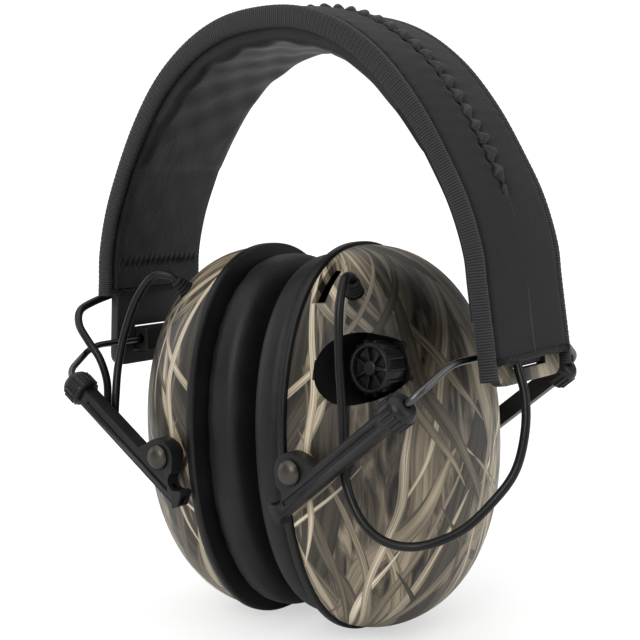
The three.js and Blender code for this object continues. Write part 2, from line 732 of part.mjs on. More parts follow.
// The free loops, from the grommet on the cup to the open end of the sleeve.
const CABLE_ROUTES = {
  near: [
    [31.7, -23.2, -66.2],
    [32.9, -25.3, -63.6],
    [34.4, -30, -63.4],
    [35.5, -34.4, -70],
    [36, -36.2, -83],
    [36.6, -36.6, -98],
    [36.8, -36.8, -108],
    [37.4, -37.2, -116],
    [43, -38.5, -125.5],
    [50, -38.5, -130],
    [58, -36, -131],
    [66, -28, -128],
    [71, -20, -121.5],
    [75, -15, -114],
    [76.5, -12, -104],
    [75.6, -10, -95],
    [73, -9, -87.1],
  ],
  far: [
    [31.7, -23.2, -66.2],
    [32.9, -25.3, -63.6],
    [37.5, -28, -62.8],
    [43.5, -29, -68],
    [48, -31, -78],
    [49.5, -34, -90],
    [48.8, -36.4, -99],
    [50.2, -36.3, -106],
    [54, -34.2, -107.4],
    [57, -32.2, -103],
    [57.4, -31.6, -95],
    [59.6, -32, -88],
    [63.6, -32.4, -83],
    [69, -31, -78],
    [73, -26.5, -74],
    [73.2, -21, -71.9],
    [71.2, -15, -70],
  ],
};
const CABLE_SPLITS = [0, 0.36, 0.7, 1];
const CABLE_PARTS = ["cup", "yoke", "band"];

// A stretch of a longer curve.
class Stretch extends THREE.Curve {
  constructor(whole, from, to) {
    super();
    Object.assign(this, { whole, from, to });
  }

  getPoint(t, target = new THREE.Vector3()) {
    return this.whole.getPointAt(this.from + (this.to - this.from) * t, target);
  }
}

for (const side of ["near", "far"]) {
  const route = new THREE.CatmullRomCurve3(CABLE_ROUTES[side].map((p) => new THREE.Vector3(...p)));
  CABLE_PARTS.forEach((part, i) => {
    const gap = i ? CLEARANCE / route.getLength() : 0;
    const stretch = new Stretch(route, CABLE_SPLITS[i] + gap, CABLE_SPLITS[i + 1]);
    const steps = Math.ceil((route.getLength() * (CABLE_SPLITS[i + 1] - CABLE_SPLITS[i])) / 5);
    add(`cable_${side}_${part}`, tube(stretch, CABLE_RADIUS, steps, 8), "rubber", side);
  });
}

// ---- Assembly ----

const shells = { near: nearShell(), far: farShell() };
for (const side of ["near", "far"]) {
  add(`end_plate_${side}`, endPlate(), "plastic", side);
  add(`bail_clip_${side}`, bailClip(), "rubber", side);
  add(`wire_bail_${side}`, bail(), "wire", side);
  for (const [place, front] of [["front", -1], ["rear", 1]]) {
    add(`arm_${side}_${place}`, arm(front), "plastic", side);
    add(`collar_${side}_${place}`, collar(front), "plastic", side);
    add(`rivet_${side}_${place}`, rivet(front), "steel", side);
    add(`pivot_bush_${side}_${place}`, bush(front), "rubber", side);
  }
  add(`cup_shell_${side}`, shells[side], "shell", side);
  add(`base_plate_${side}`, basePlate(), "plastic", side);
  add(`cushion_${side}`, ovalRing(CUSHION_X[0], CUSHION_X[1], CUSHION_HALF, EAR_HALF, 4), "vinyl", side);
  add(`foam_liner_${side}`, ovalRing(12, BASE_X[0] - CLEARANCE, [16, 29], null, 0.8), "foam", side);
  add(`speaker_${side}`, speaker(), "steel", side);
  add(`grommet_${side}`, grommet(), "rubber", side);
  add(`microphone_${side}`, microphone(), "rubber", side);
}
add("circuit_board", circuitBoard(), "board");
add("volume_knob", volumeKnob(), "plastic");
add("volume_pot", volumePot(), "steel");
add("battery_tray", batteryTray(), "plastic", "far");
add("battery_front", cell(-1), "cell", "far");
add("battery_rear", cell(1), "cell", "far");
add("battery_door", batteryDoor(), "shell", "far");

export default group;
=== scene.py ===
"""Earmuff hearing protector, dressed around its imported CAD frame. Metres, +Z up, -Y to the wearer's front."""

import logging
import math
from collections.abc import Sequence
from dataclasses import dataclass, field
from enum import Enum

import bmesh
import bpy
import numpy as np
from mathutils import Matrix, Vector

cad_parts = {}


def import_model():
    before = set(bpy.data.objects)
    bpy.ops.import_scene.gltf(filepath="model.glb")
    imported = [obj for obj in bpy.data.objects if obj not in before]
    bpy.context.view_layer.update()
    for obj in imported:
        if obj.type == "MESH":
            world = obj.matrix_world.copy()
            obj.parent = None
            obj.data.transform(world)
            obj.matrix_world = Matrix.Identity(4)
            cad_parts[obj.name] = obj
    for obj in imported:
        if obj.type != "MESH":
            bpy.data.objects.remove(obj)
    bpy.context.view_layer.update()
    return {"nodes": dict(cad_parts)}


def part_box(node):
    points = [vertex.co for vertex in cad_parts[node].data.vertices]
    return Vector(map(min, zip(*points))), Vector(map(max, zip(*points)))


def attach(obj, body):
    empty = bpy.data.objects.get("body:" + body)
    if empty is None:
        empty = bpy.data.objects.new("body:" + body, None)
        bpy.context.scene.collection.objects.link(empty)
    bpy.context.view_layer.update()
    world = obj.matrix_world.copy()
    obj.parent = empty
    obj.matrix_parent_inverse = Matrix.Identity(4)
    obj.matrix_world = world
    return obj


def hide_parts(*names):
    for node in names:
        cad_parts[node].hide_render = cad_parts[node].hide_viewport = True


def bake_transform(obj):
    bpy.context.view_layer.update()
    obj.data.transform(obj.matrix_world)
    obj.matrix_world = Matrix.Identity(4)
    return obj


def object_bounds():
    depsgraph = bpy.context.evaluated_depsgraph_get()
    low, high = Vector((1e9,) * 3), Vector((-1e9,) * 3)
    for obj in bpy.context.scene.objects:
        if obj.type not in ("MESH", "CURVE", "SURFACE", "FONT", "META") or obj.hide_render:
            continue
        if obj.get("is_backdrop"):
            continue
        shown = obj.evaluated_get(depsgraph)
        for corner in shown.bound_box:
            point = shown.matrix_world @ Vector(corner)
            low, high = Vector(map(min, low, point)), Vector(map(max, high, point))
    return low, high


LOG = logging.getLogger("earmuff")
MM = 0.001
Point = tuple[float, float, float]
Colour = tuple[float, float, float]
KNOB_SEAT: Point = (38.5 * MM, -25.4 * MM, -87.5 * MM)
KNOB_AXIS: Point = (-0.1, -0.99, 0.05)


class Half(Enum):
    """A named half with its sign along one axis."""

    @property
    def label(self) -> str:
        """The word that this half's CAD nodes and bodies carry."""
        return self.value[0]

    @property
    def sign(self) -> float:
        """+1 on the positive half of the axis and -1 on the negative one."""
        return self.value[1]


class Side(Half):
    """Which cup a piece belongs to, with its sign along X."""

    NEAR = ("near", 1.0)
    FAR = ("far", -1.0)


class Place(Half):
    """Front or rear arm of a cup, with its sign along Y."""

    FRONT = ("front", -1.0)
    REAR = ("rear", 1.0)


# ---- Helpers for meshes ----


def deselect() -> None:
    """Leaves object mode with nothing selected."""
    if bpy.context.object and bpy.context.object.mode != "OBJECT":
        bpy.ops.object.mode_set(mode="OBJECT")
    bpy.ops.object.select_all(action="DESELECT")


def activate(piece: bpy.types.Object) -> None:
    """Makes one object the only selected and active one.

    Args:
        piece: The object to work on.
    """
    deselect()
    piece.select_set(True)
    bpy.context.view_layer.objects.active = piece


def settle(piece: bpy.types.Object, name: str, angle: float = 35.0) -> bpy.types.Object:
    """Applies a piece's modifiers and its place, so that it sits at the origin, and smooths it.

    Args:
        piece: The object to finish.
        name: Its final name.
        angle: Edges sharper than this many degrees stay crisp.

    Returns:
        The same object.
    """
    activate(piece)
    for modifier in list(piece.modifiers):
        bpy.ops.object.modifier_apply(modifier=modifier.name)
    bpy.ops.object.transform_apply(location=True, rotation=True, scale=True)
    bpy.ops.object.shade_smooth_by_angle(angle=math.radians(angle))
    piece.name = name
    piece.data.name = name
    return piece


def turn_to(direction: Vector) -> Matrix:
    """A rotation that takes +Z to a direction.

    Args:
        direction: Where +Z should point.

    Returns:
        The 4 by 4 rotation.
    """
    return direction.to_track_quat("Z", "Y").to_matrix().to_4x4()


def lay_along(piece: bpy.types.Object, foot: Vector, direction: Vector) -> None:
    """Stands a piece that was modelled on +Z on a foot point, along a direction.

    Args:
        piece: The object, modelled upright at the origin.
        foot: Where its origin goes.
        direction: Where its +Z goes.
    """
    piece.data.transform(Matrix.Translation(foot) @ turn_to(direction))
    piece.data.update()


def mesh_piece(
    name: str,
    points: Sequence[Sequence[float]],
    faces: Sequence[Sequence[int]],
) -> bpy.types.Object:
    """A new object from points and faces, with its normals made to face outward.

    Args:
        name: The object's name.
        points: Vertex positions in metres.
        faces: Vertex numbers of each face.

    Returns:
        The linked object.
    """
    data = bpy.data.meshes.new(name)
    data.from_pydata([tuple(p) for p in points], [], [tuple(f) for f in faces])
    work = bmesh.new()
    work.from_mesh(data)
    bmesh.ops.remove_doubles(work, verts=work.verts, dist=1e-6)
    bmesh.ops.recalc_face_normals(work, faces=work.faces)
    work.to_mesh(data)
    work.free()
    piece = bpy.data.objects.new(name, data)
    bpy.context.collection.objects.link(piece)
    return piece


def loft(name: str, rings: Sequence[Sequence[Sequence[float]]]) -> bpy.types.Object:
    """A closed body through rings of points, with a face over each end.

    Args:
        name: The object's name.
        rings: Rings with the same number of points each.

    Returns:
        The linked object.
    """
    count = len(rings[0])
    points = [p for ring in rings for p in ring]
    faces: list[list[int]] = []
    for r in range(len(rings) - 1):
        for i in range(count):
            j = (i + 1) % count
            faces.append([r * count + i, r * count + j, (r + 1) * count + j, (r + 1) * count + i])
    faces.append(list(range(count))[::-1])
    faces.append([(len(rings) - 1) * count + i for i in range(count)])
    return mesh_piece(name, points, faces)


def closed_loop(name: str, rings: Sequence[Sequence[Sequence[float]]]) -> bpy.types.Object:
    """A body through rings of points, whose last ring meets its first.

    Args:
        name: The object's name.
        rings: Rings with the same number of points each.

    Returns:
        The linked object.
    """
    around, section = len(rings), len(rings[0])
    faces: list[list[int]] = []
    for k in range(around):
        after = (k + 1) % around
        for j in range(section):
            i = (j + 1) % section
            faces.append([k * section + j, k * section + i, after * section + i, after * section + j])
    return mesh_piece(name, [p for ring in rings for p in ring], faces)


def turns(count: int) -> list[float]:
    """Even angles round a full turn, in radians."""
    return [2 * math.pi * k / count for k in range(count)]


def slab(size: Sequence[float], middle: Sequence[float] = (0, 0, 0)) -> bpy.types.Object:
    """A plain box.

    Args:
        size: Its three sides.
        middle: Where its middle is.

    Returns:
        The box.
    """
    deselect()
    bpy.ops.mesh.primitive_cube_add(size=1, location=middle)
    made = bpy.context.object
    made.scale = size
    bpy.ops.object.transform_apply(location=True, rotation=True, scale=True)
    return made


def round_edges(piece: bpy.types.Object, width: float, segments: int, angle: float) -> None:
    """Adds a bevel to a piece, which settle applies.

    Args:
        piece: The object.
        width: Width of the rounded edges.
        segments: Steps in each rounded edge.
        angle: Edges sharper than this many degrees are rounded.
    """
    modifier = piece.modifiers.new("edges", "BEVEL")
    modifier.width = width
    modifier.segments = segments
    modifier.limit_method = "ANGLE"
    modifier.angle_limit = math.radians(angle)


def cut(
    piece: bpy.types.Object,
    cutters: Sequence[bpy.types.Object],
    operation: str = "DIFFERENCE",
) -> None:
    """Takes cutters out of a piece, or keeps only what lies inside them, and deletes them.

    Args:
        piece: The body to cut.
        cutters: Closed bodies.
        operation: DIFFERENCE to remove them, INTERSECT to keep what they share.
    """
    for cutter in cutters:
        activate(piece)
        modifier = piece.modifiers.new("cut", "BOOLEAN")
        modifier.operation = operation
        modifier.solver = "EXACT"
        modifier.object = cutter
        bpy.ops.object.modifier_apply(modifier=modifier.name)
        bpy.data.objects.remove(cutter)


def pin(foot: Vector, direction: Vector, radius: float, length: float, sides: int = 48) -> bpy.types.Object:
    """A plain round bar, used as a cutter or as a start.

    Args:
        foot: The middle of its lower end.
        direction: Where it points.
        radius: Its radius.
        length: Its length.
        sides: How many sides it has.

    Returns:
        The bar.
    """
    deselect()
    middle = (0, 0, length / 2)
    bpy.ops.mesh.primitive_cylinder_add(vertices=sides, radius=radius, depth=length, location=middle)
    bar = bpy.context.object
    bpy.ops.object.transform_apply(location=True, rotation=True, scale=True)
    lay_along(bar, foot, direction.normalized())
    return bar


def turned(
    name: str,
    profile: Sequence[tuple[float, float]],
    foot: Vector,
    direction: Vector,
    steps: int = 64,
) -> bpy.types.Object:
    """A turned piece: a circle at the foot, extruded and scaled up through a profile.

    Args:
        name: The object's name.
        profile: Radius and height of each step, starting at the foot.
        foot: Where the piece stands.
        direction: Its axis.
        steps: How many sides it has.

    Returns:
        The piece.
    """
    deselect()
    radius, height = profile[0]
    foot_at = (0, 0, height)
    bpy.ops.mesh.primitive_circle_add(vertices=steps, radius=radius, fill_type="NGON", location=foot_at)
    piece = bpy.context.object
    bpy.ops.object.mode_set(mode="EDIT")
    for next_radius, next_height in profile[1:]:
        bpy.ops.mesh.extrude_region_move(TRANSFORM_OT_translate={"value": (0, 0, next_height - height)})
        if abs(next_radius - radius) > 1e-9:
            scale = next_radius / radius
            bpy.ops.transform.resize(value=(scale, scale, 1), center_override=(0, 0, 0))
        radius, height = next_radius, next_height
    bpy.ops.mesh.select_all(action="SELECT")
    bpy.ops.mesh.normals_make_consistent(inside=False)
    bpy.ops.object.mode_set(mode="OBJECT")
    bpy.ops.object.transform_apply(location=True, rotation=True, scale=True)
    lay_along(piece, foot, direction.normalized())
    piece.name = name
    return piece


def finish_piece(
    piece: bpy.types.Object,
    material: bpy.types.Material,
    body: str,
    nodes: Sequence[str] = (),
) -> bpy.types.Object:
    """Dresses a piece, hides the CAD nodes that it stands for and makes it ride on its body.

    Args:
        piece: The finished object.
        material: What it wears.
        body: The CAD body that carries it.
        nodes: The CAD nodes that it replaces.

    Returns:
        The same object.
    """
    if not piece.data.materials:
        piece.data.materials.append(material)
    if nodes:
        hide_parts(*nodes)
    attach(piece, body)
    LOG.info("%s: %d faces on %s", piece.name, len(piece.data.polygons), body)
    return piece


# ---- Shader groups and finishes ----


@dataclass
class Paint:
    """A node tree being filled, with short ways to add nodes and links."""

    tree: bpy.types.NodeTree

    def node(self, kind: str, **values: object) -> bpy.types.Node:
        """Adds a node and sets properties or numbered or named inputs.

        Args:
            kind: The node's type name.
            values: Property names, or in_NAME and in_NUMBER for inputs, each a constant or an output.

        Returns:
            The node.
        """
        made = self.tree.nodes.new(kind)
        for key, value in values.items():
            if key.startswith("in_"):
                slot = key[3:]
                self.feed(made.inputs[int(slot) if slot.isdigit() else slot.replace("_", " ")], value)
            else:
                setattr(made, key, value)
        return made

    def feed(self, socket: bpy.types.NodeSocket, value: object) -> None:
        """Gives an input an output to read or a constant."""
        if isinstance(value, bpy.types.NodeSocket):
            self.link(value, socket)
        else:
            socket.default_value = value

    def link(self, source: bpy.types.NodeSocket, target: bpy.types.NodeSocket) -> None:
        """Joins an output to an input."""
        self.tree.links.new(source, target)

    def mix(self, factor: object, one: object, other: object, mode: str = "MIX") -> bpy.types.NodeSocket:
        """Mixes two colours.

        Args:
            factor: A number or an output.
            one: The colour or output at 0.
            other: The colour or output at 1.
            mode: How they blend.

        Returns:
            The mixed colour's output.
        """
        made = self.node("ShaderNodeMix", data_type="RGBA", blend_type=mode)
        for socket, value in ((made.inputs[0], factor), (made.inputs[6], one), (made.inputs[7], other)):
            self.feed(socket, value)
        return made.outputs[2]

    def ramp(
        self,
        source: bpy.types.NodeSocket,
        stops: Sequence[tuple[float, Sequence[float]]],
        interpolation: str = "LINEAR",
    ) -> bpy.types.NodeSocket:
        """Sends a value through a colour ramp.

        Args:
            source: The value.
            stops: Position and colour of each stop.
            interpolation: How colours change between stops.

        Returns:
            The colour's output.
        """
        made = self.node("ShaderNodeValToRGB")
        made.color_ramp.interpolation = interpolation
        while len(made.color_ramp.elements) < len(stops):
            made.color_ramp.elements.new(0.5)
        for element, (position, colour) in zip(made.color_ramp.elements, stops):
            element.position = position
            element.color = (*colour, 1) if len(colour) == 3 else colour
        self.link(source, made.inputs[0])
        return made.outputs[0]

    def math(self, operation: str, one: object, other: object = 0.0) -> bpy.types.NodeSocket:
        """Adds a math node.

        Args:
            operation: The Math node's operation.
            one: A number or an output.
            other: A number or an output.

        Returns:
            The result's output.
        """
        made = self.node("ShaderNodeMath", operation=operation)
        for socket, value in zip(made.inputs, (one, other)):
            self.feed(socket, value)
        return made.outputs[0]

    def span(
        self,
        source: bpy.types.NodeSocket,
        start: tuple[float, float] = (0.0, 1.0),
        end: tuple[float, float] = (0.0, 1.0),
        curve: str = "LINEAR",
    ) -> bpy.types.NodeSocket:
        """Maps a value from one range to another.

        Args:
            source: The value.
            start: The range that it has.
            end: The range that it gets.
            curve: How it changes between the ends.

        Returns:
            The mapped value's output.
        """
        made = self.node(
            "ShaderNodeMapRange", interpolation_type=curve, in_0=source, in_1=start[0], in_2=start[1],
            in_3=end[0], in_4=end[1],
        )
        return made.outputs[0]


def grey(value: float) -> Colour:
    """A linear grey."""
    return (value, value, value)


def new_group(
    name: str,
    inputs: dict[str, tuple[str, object]],
    outputs: dict[str, str],
) -> bpy.types.NodeTree:
    """An empty shader group with its sockets.

    Args:
        name: The group's name.
        inputs: Socket type and default of each named input.
        outputs: Socket type of each named output.

    Returns:
        The group.
    """
    group = bpy.data.node_groups.new(name, "ShaderNodeTree")
    for label, (kind, default) in inputs.items():
        socket = group.interface.new_socket(label, in_out="INPUT", socket_type=kind)
        if default is not None:
            socket.default_value = default
    for label, kind in outputs.items():
        group.interface.new_socket(label, in_out="OUTPUT", socket_type=kind)
    return group


BLADE_TONES = (
    (0.00, (0.014, 0.013, 0.012)),
    (0.25, (0.085, 0.077, 0.065)),
    (0.50, (0.210, 0.192, 0.162)),
    (0.75, (0.370, 0.343, 0.295)),
    (1.00, (0.640, 0.612, 0.560)),
)

# Angle, width, length, bend, seed, share of rows drawn, darkest tone and palest tone of each layer.
BLADE_LAYERS = (
    (0.25, 0.0150, 0.130, 0.024, 1.7, 0.55, 0.10, 0.60),
    (-0.55, 0.0125, 0.115, 0.026, 5.3, 0.45, 0.05, 0.62),
    (0.60, 0.0105, 0.110, 0.024, 9.1, 0.38, 0.10, 0.72),
    (-0.20, 0.0085, 0.120, 0.020, 13.9, 0.42, 0.20, 0.85),
    (0.40, 0.0070, 0.115, 0.020, 17.2, 0.32, 0.40, 1.00),
    (-0.75, 0.0055, 0.100, 0.026, 23.4, 0.20, 0.30, 0.95),
    (-0.35, 0.0046, 0.105, 0.022, 29.8, 0.20, 0.55, 1.05),
    (0.85, 0.0036, 0.095, 0.024, 33.1, 0.10, 0.50, 1.05),
    (0.12, 0.0030, 0.095, 0.022, 37.6, 0.14, 0.45, 1.05),
)
# Painted shade on the print: the heights, and the distances out from the middle, over which the cup's upper
# outer face is painted darker.
PAINTED_SHADE_HEIGHTS = (-0.105, -0.072)
PAINTED_SHADE_REACH = (0.027, 0.043)
CUP_RADIUS = 0.046


def blade_group() -> bpy.types.NodeTree:
    """One layer of long blades with tapered ends, lying side by side in bent rows.

    Returns:
        A group from Vector, Angle, Width, Length, Bend, Seed and Share to Mask, Tone and Shade.
    """
    inputs: dict[str, tuple[str, object]] = {"Vector": ("NodeSocketVector", None)}
    numbers = ("Angle", "Width", "Length", "Bend", "Seed", "Share")
    inputs |= {label: ("NodeSocketFloat", 0.0) for label in numbers}
    outputs = {label: "NodeSocketFloat" for label in ("Mask", "Tone", "Shade")}
    group = new_group("blades", inputs, outputs)
    paint = Paint(group)
    start = paint.node("NodeGroupInput").outputs
    end = paint.node("NodeGroupOutput")
    shifted = paint.node("ShaderNodeVectorMath", operation="ADD")
    offset = paint.node("ShaderNodeCombineXYZ", in_2=start["Seed"])
    paint.link(start["Vector"], shifted.inputs[0])
    paint.link(offset.outputs[0], shifted.inputs[1])
    noise = paint.node("ShaderNodeTexNoise", in_Scale=19.0, in_Detail=1.0, in_Vector=shifted.outputs[0])
    centred = paint.node("ShaderNodeVectorMath", operation="SUBTRACT", in_1=(0.5, 0.5, 0.5))
    paint.link(noise.outputs["Color"], centred.inputs[0])
    scaled = paint.node("ShaderNodeVectorMath", operation="SCALE", in_0=centred.outputs[0])
    paint.link(start["Bend"], scaled.inputs["Scale"])
    bent = paint.node("ShaderNodeVectorMath", operation="ADD", in_0=start["Vector"], in_1=scaled.outputs[0])
    turned_way = paint.node("ShaderNodeVectorRotate", rotation_type="Z_AXIS", in_Vector=bent.outputs[0])
    paint.link(start["Angle"], turned_way.inputs["Angle"])
    parts = paint.node("ShaderNodeSeparateXYZ", in_0=turned_way.outputs[0])
    across = paint.math("ADD", paint.math("DIVIDE", parts.outputs[0], start["Width"]), start["Seed"])
    row = paint.math("FLOOR", across)
    row_noise = paint.node("ShaderNodeTexWhiteNoise", noise_dimensions="1D")
    paint.link(paint.math("ADD", row, start["Seed"]), row_noise.inputs["W"])
    start_along = paint.math("MULTIPLY", row_noise.outputs["Value"], 7.0)
    along = paint.math("ADD", paint.math("DIVIDE", parts.outputs[1], start["Length"]), start_along)
    spot = paint.node("ShaderNodeCombineXYZ", in_0=row, in_1=paint.math("FLOOR", along), in_2=start["Seed"])
    chance = paint.node("ShaderNodeTexWhiteNoise", noise_dimensions="3D", in_Vector=spot.outputs[0])
    draws = paint.node("ShaderNodeSeparateColor", in_0=chance.outputs["Color"])
    share_of_length = paint.math("MULTIPLY", paint.math("FRACT", along), math.pi)
    taper = paint.math("POWER", paint.math("SINE", share_of_length), 0.6)
    spread = paint.math("ADD", paint.math("MULTIPLY", draws.outputs[1], 0.6), 0.4)
    width = paint.math("ADD", paint.math("MULTIPLY", taper, spread), 0.001)
    aside = paint.math("ABSOLUTE", paint.math("SUBTRACT", paint.math("FRACT", across), 0.5))
    reach = paint.math("DIVIDE", paint.math("MULTIPLY", aside, 2.0), width)
    inside = paint.math("LESS_THAN", reach, 1.0)
    drawn = paint.math("LESS_THAN", draws.outputs[2], start["Share"])
    paint.link(paint.math("MULTIPLY", inside, drawn), end.inputs["Mask"])
    paint.link(draws.outputs[0], end.inputs["Tone"])
    veins = paint.node("ShaderNodeCombineXYZ", in_0=paint.math("MULTIPLY", across, 5.0))
    paint.link(paint.math("MULTIPLY", along, 1.6), veins.inputs[1])
    paint.link(start["Seed"], veins.inputs[2])
    fine = paint.node("ShaderNodeTexNoise", in_Scale=2.2, in_Detail=4.0, in_Vector=veins.outputs[0])
    streak = paint.span(fine.outputs["Fac"], (0.32, 0.66), (0.35, 1.15))
    rounded = paint.math("SUBTRACT", 1.0, paint.math("MULTIPLY", paint.math("POWER", reach, 2.5), 0.55))
    paint.link(paint.math("MULTIPLY", rounded, streak), end.inputs["Shade"])
    return group


def grass_group() -> bpy.types.NodeTree:
    """A printed pattern of long, curved dry-grass blades that cross one another round a cup, with painted shade
    on the cup's upper outer face.

    Returns:
        A group from Vector to Color.
    """
    blades = blade_group()
    group = new_group("grass_print", {"Vector": ("NodeSocketVector", None)}, {"Color": "NodeSocketColor"})
    paint = Paint(group)
    start = paint.node("NodeGroupInput")
    end = paint.node("NodeGroupOutput")
    parts = paint.node("ShaderNodeSeparateXYZ", in_0=start.outputs[0])
    depth = paint.math("SUBTRACT", paint.math("ABSOLUTE", parts.outputs[0]), 0.006)
    around = paint.math("MULTIPLY", paint.math("ARCTAN2", parts.outputs[1], depth), CUP_RADIUS)
    flat = paint.node("ShaderNodeCombineXYZ", in_0=around, in_1=parts.outputs[2])
    stretched = paint.node("ShaderNodeMapping")
    stretched.inputs["Rotation"].default_value = (0.0, 0.0, 0.35)
    stretched.inputs["Scale"].default_value = (330.0, 70.0, 1.0)
    paint.link(flat.outputs[0], stretched.inputs["Vector"])
    murk = paint.node("ShaderNodeTexNoise", in_Scale=1.0, in_Detail=6.0, in_Distortion=0.9)
    paint.link(stretched.outputs[0], murk.inputs["Vector"])
    colour = paint.ramp(murk.outputs["Fac"], ((0.36, (0.012, 0.011, 0.010)), (0.50, (0.070, 0.063, 0.053)),
                                              (0.68, (0.200, 0.183, 0.155))))
    for angle, width, length, bend, seed, share, low, high in BLADE_LAYERS:
        layer = paint.node(
            "ShaderNodeGroup", node_tree=blades, in_Angle=angle, in_Width=width, in_Length=length,
            in_Bend=bend, in_Seed=seed, in_Share=share,
        )
        paint.link(flat.outputs[0], layer.inputs["Vector"])
        tone = paint.ramp(paint.span(layer.outputs["Tone"], end=(low * 0.4, high)), BLADE_TONES)
        shade = paint.node("ShaderNodeCombineColor")
        for k in range(3):
            paint.link(layer.outputs["Shade"], shade.inputs[k])
        colour = paint.mix(layer.outputs["Mask"], colour, paint.mix(1.0, tone, shade.outputs[0], "MULTIPLY"))
    patches = paint.node("ShaderNodeTexNoise", in_Scale=24.0, in_Detail=2.0, in_Vector=flat.outputs[0])
    dapple = paint.ramp(patches.outputs["Fac"], ((0.34, grey(0.42)), (0.50, grey(1.0))))
    colour = paint.mix(0.85, colour, dapple, "MULTIPLY")
    # Painted shade: the print is darkened, down to about a quarter of its tone, where the cup's face is both
    # high and far out.
    height = paint.span(parts.outputs[2], PAINTED_SHADE_HEIGHTS)
    outward = paint.span(paint.math("ABSOLUTE", parts.outputs[0]), PAINTED_SHADE_REACH)
    painted_shade = paint.math("MULTIPLY", height, outward)
    crown = paint.ramp(painted_shade, ((0.0, grey(1.0)), (0.8, grey(0.26))))
    paint.link(paint.mix(1.0, colour, crown, "MULTIPLY"), end.inputs[0])
    return group


def grain_group() -> bpy.types.NodeTree:
    """Fine pitting with broader unevenness and sparse pale scuffs, for mouldings, leather and rubber.

    Returns:
        A group from Vector and Scale to Height, Uneven and Scuff.
    """
    inputs = {"Vector": ("NodeSocketVector", None), "Scale": ("NodeSocketFloat", 900.0)}
    outputs = {"Height": "NodeSocketFloat", "Uneven": "NodeSocketFloat", "Scuff": "NodeSocketFloat"}
    group = new_group("grain", inputs, outputs)
    paint = Paint(group)
    start = paint.node("NodeGroupInput")
    end = paint.node("NodeGroupOutput")
    fine = paint.node("ShaderNodeTexVoronoi", feature="SMOOTH_F1", in_Randomness=1.0)
    broad = paint.node("ShaderNodeTexNoise", in_Scale=70.0, in_Detail=3.0)
    scuffs = paint.node("ShaderNodeTexNoise", in_Scale=240.0, in_Detail=6.0, in_Distortion=1.5)
    for texture in (fine, broad, scuffs):
        paint.link(start.outputs["Vector"], texture.inputs["Vector"])
    paint.link(start.outputs["Scale"], fine.inputs["Scale"])
    paint.link(fine.outputs["Distance"], end.inputs["Height"])
    paint.link(broad.outputs["Fac"], end.inputs["Uneven"])
    patch = paint.math("GREATER_THAN", scuffs.outputs["Fac"], 0.66)
    paint.link(patch, end.inputs["Scuff"])
    return group


def weave_group() -> bpy.types.NodeTree:
    """Threads that cross at right angles, as on a woven cover or a ribbed tape.

    Returns:
        A group from Vector, Across and Along to Height.
    """
    inputs = {
        "Vector": ("NodeSocketVector", None),
        "Across": ("NodeSocketFloat", 2200.0),
        "Along": ("NodeSocketFloat", 2200.0),
    }
    group = new_group("weave", inputs, {"Height": "NodeSocketFloat"})
    paint = Paint(group)
    start = paint.node("NodeGroupInput")
    end = paint.node("NodeGroupOutput")
    parts = paint.node("ShaderNodeSeparateXYZ", in_0=start.outputs["Vector"])
    across = paint.math("SINE", paint.math("MULTIPLY", parts.outputs[1], start.outputs["Across"]))
    height = paint.math("ADD", parts.outputs[2], paint.math("MULTIPLY", parts.outputs[0], 0.7))
    along = paint.math("SINE", paint.math("MULTIPLY", height, start.outputs["Along"]))
    paint.link(paint.math("MULTIPLY", across, along), end.inputs[0])
    return group


@dataclass
class Library:
    """The shared shader groups and the finishes made with them."""

    grass: bpy.types.NodeTree = field(default_factory=grass_group)
    grain: bpy.types.NodeTree = field(default_factory=grain_group)
    weave: bpy.types.NodeTree = field(default_factory=weave_group)

    def blank(self, name: str) -> tuple[bpy.types.Material, Paint, bpy.types.Node, bpy.types.NodeSocket]:
        """A new material.

        Args:
            name: Its name.

        Returns:
            The material, its tree, its Principled shader and the Object coordinates.
        """
        material = bpy.data.materials.new(name)
        material.use_nodes = True
        paint = Paint(material.node_tree)
        shader = material.node_tree.nodes["Principled BSDF"]
        where = paint.node("ShaderNodeTexCoord").outputs["Object"]
        return material, paint, shader, where

    def grained(self, name: str, scale: float) -> tuple:
        """A new material in which the grain group reads the Object coordinates.

        Args:
            name: Its name.
            scale: How fine the grain is.

        Returns:
            What blank gives, and the grain group's outputs.
        """
        material, paint, shader, where = self.blank(name)
        grain = paint.node("ShaderNodeGroup", node_tree=self.grain, in_Scale=scale, in_Vector=where)
        return material, paint, shader, where, grain.outputs

    def gloss(
        self,
        paint: Paint,
        shader: bpy.types.Node,
        uneven: bpy.types.NodeSocket,
        low: float,
        high: float,
    ) -> None:
        """Feeds an uneven value to the shader's Roughness.

        Args:
            paint: The material's tree.
            shader: Its Principled shader.
            uneven: A value from 0 to 1.
            low: The roughness at 0.
            high: The roughness at 1.
        """
        paint.link(paint.span(uneven, end=(low, high)), shader.inputs["Roughness"])

    def bump(
        self,
        paint: Paint,
        shader: bpy.types.Node,
        height: bpy.types.NodeSocket,
        strength: float,
        depth: float,
    ) -> None:
        """Feeds a height to the shader's Normal.

        Args:
            paint: The material's tree.
            shader: Its Principled shader.
            height: The height's output.
            strength: The Bump node's strength.
            depth: The height of 1 in metres.
        """
        made = paint.node("ShaderNodeBump", in_Strength=strength, in_Distance=depth, in_Height=height)
        paint.link(made.outputs[0], shader.inputs["Normal"])


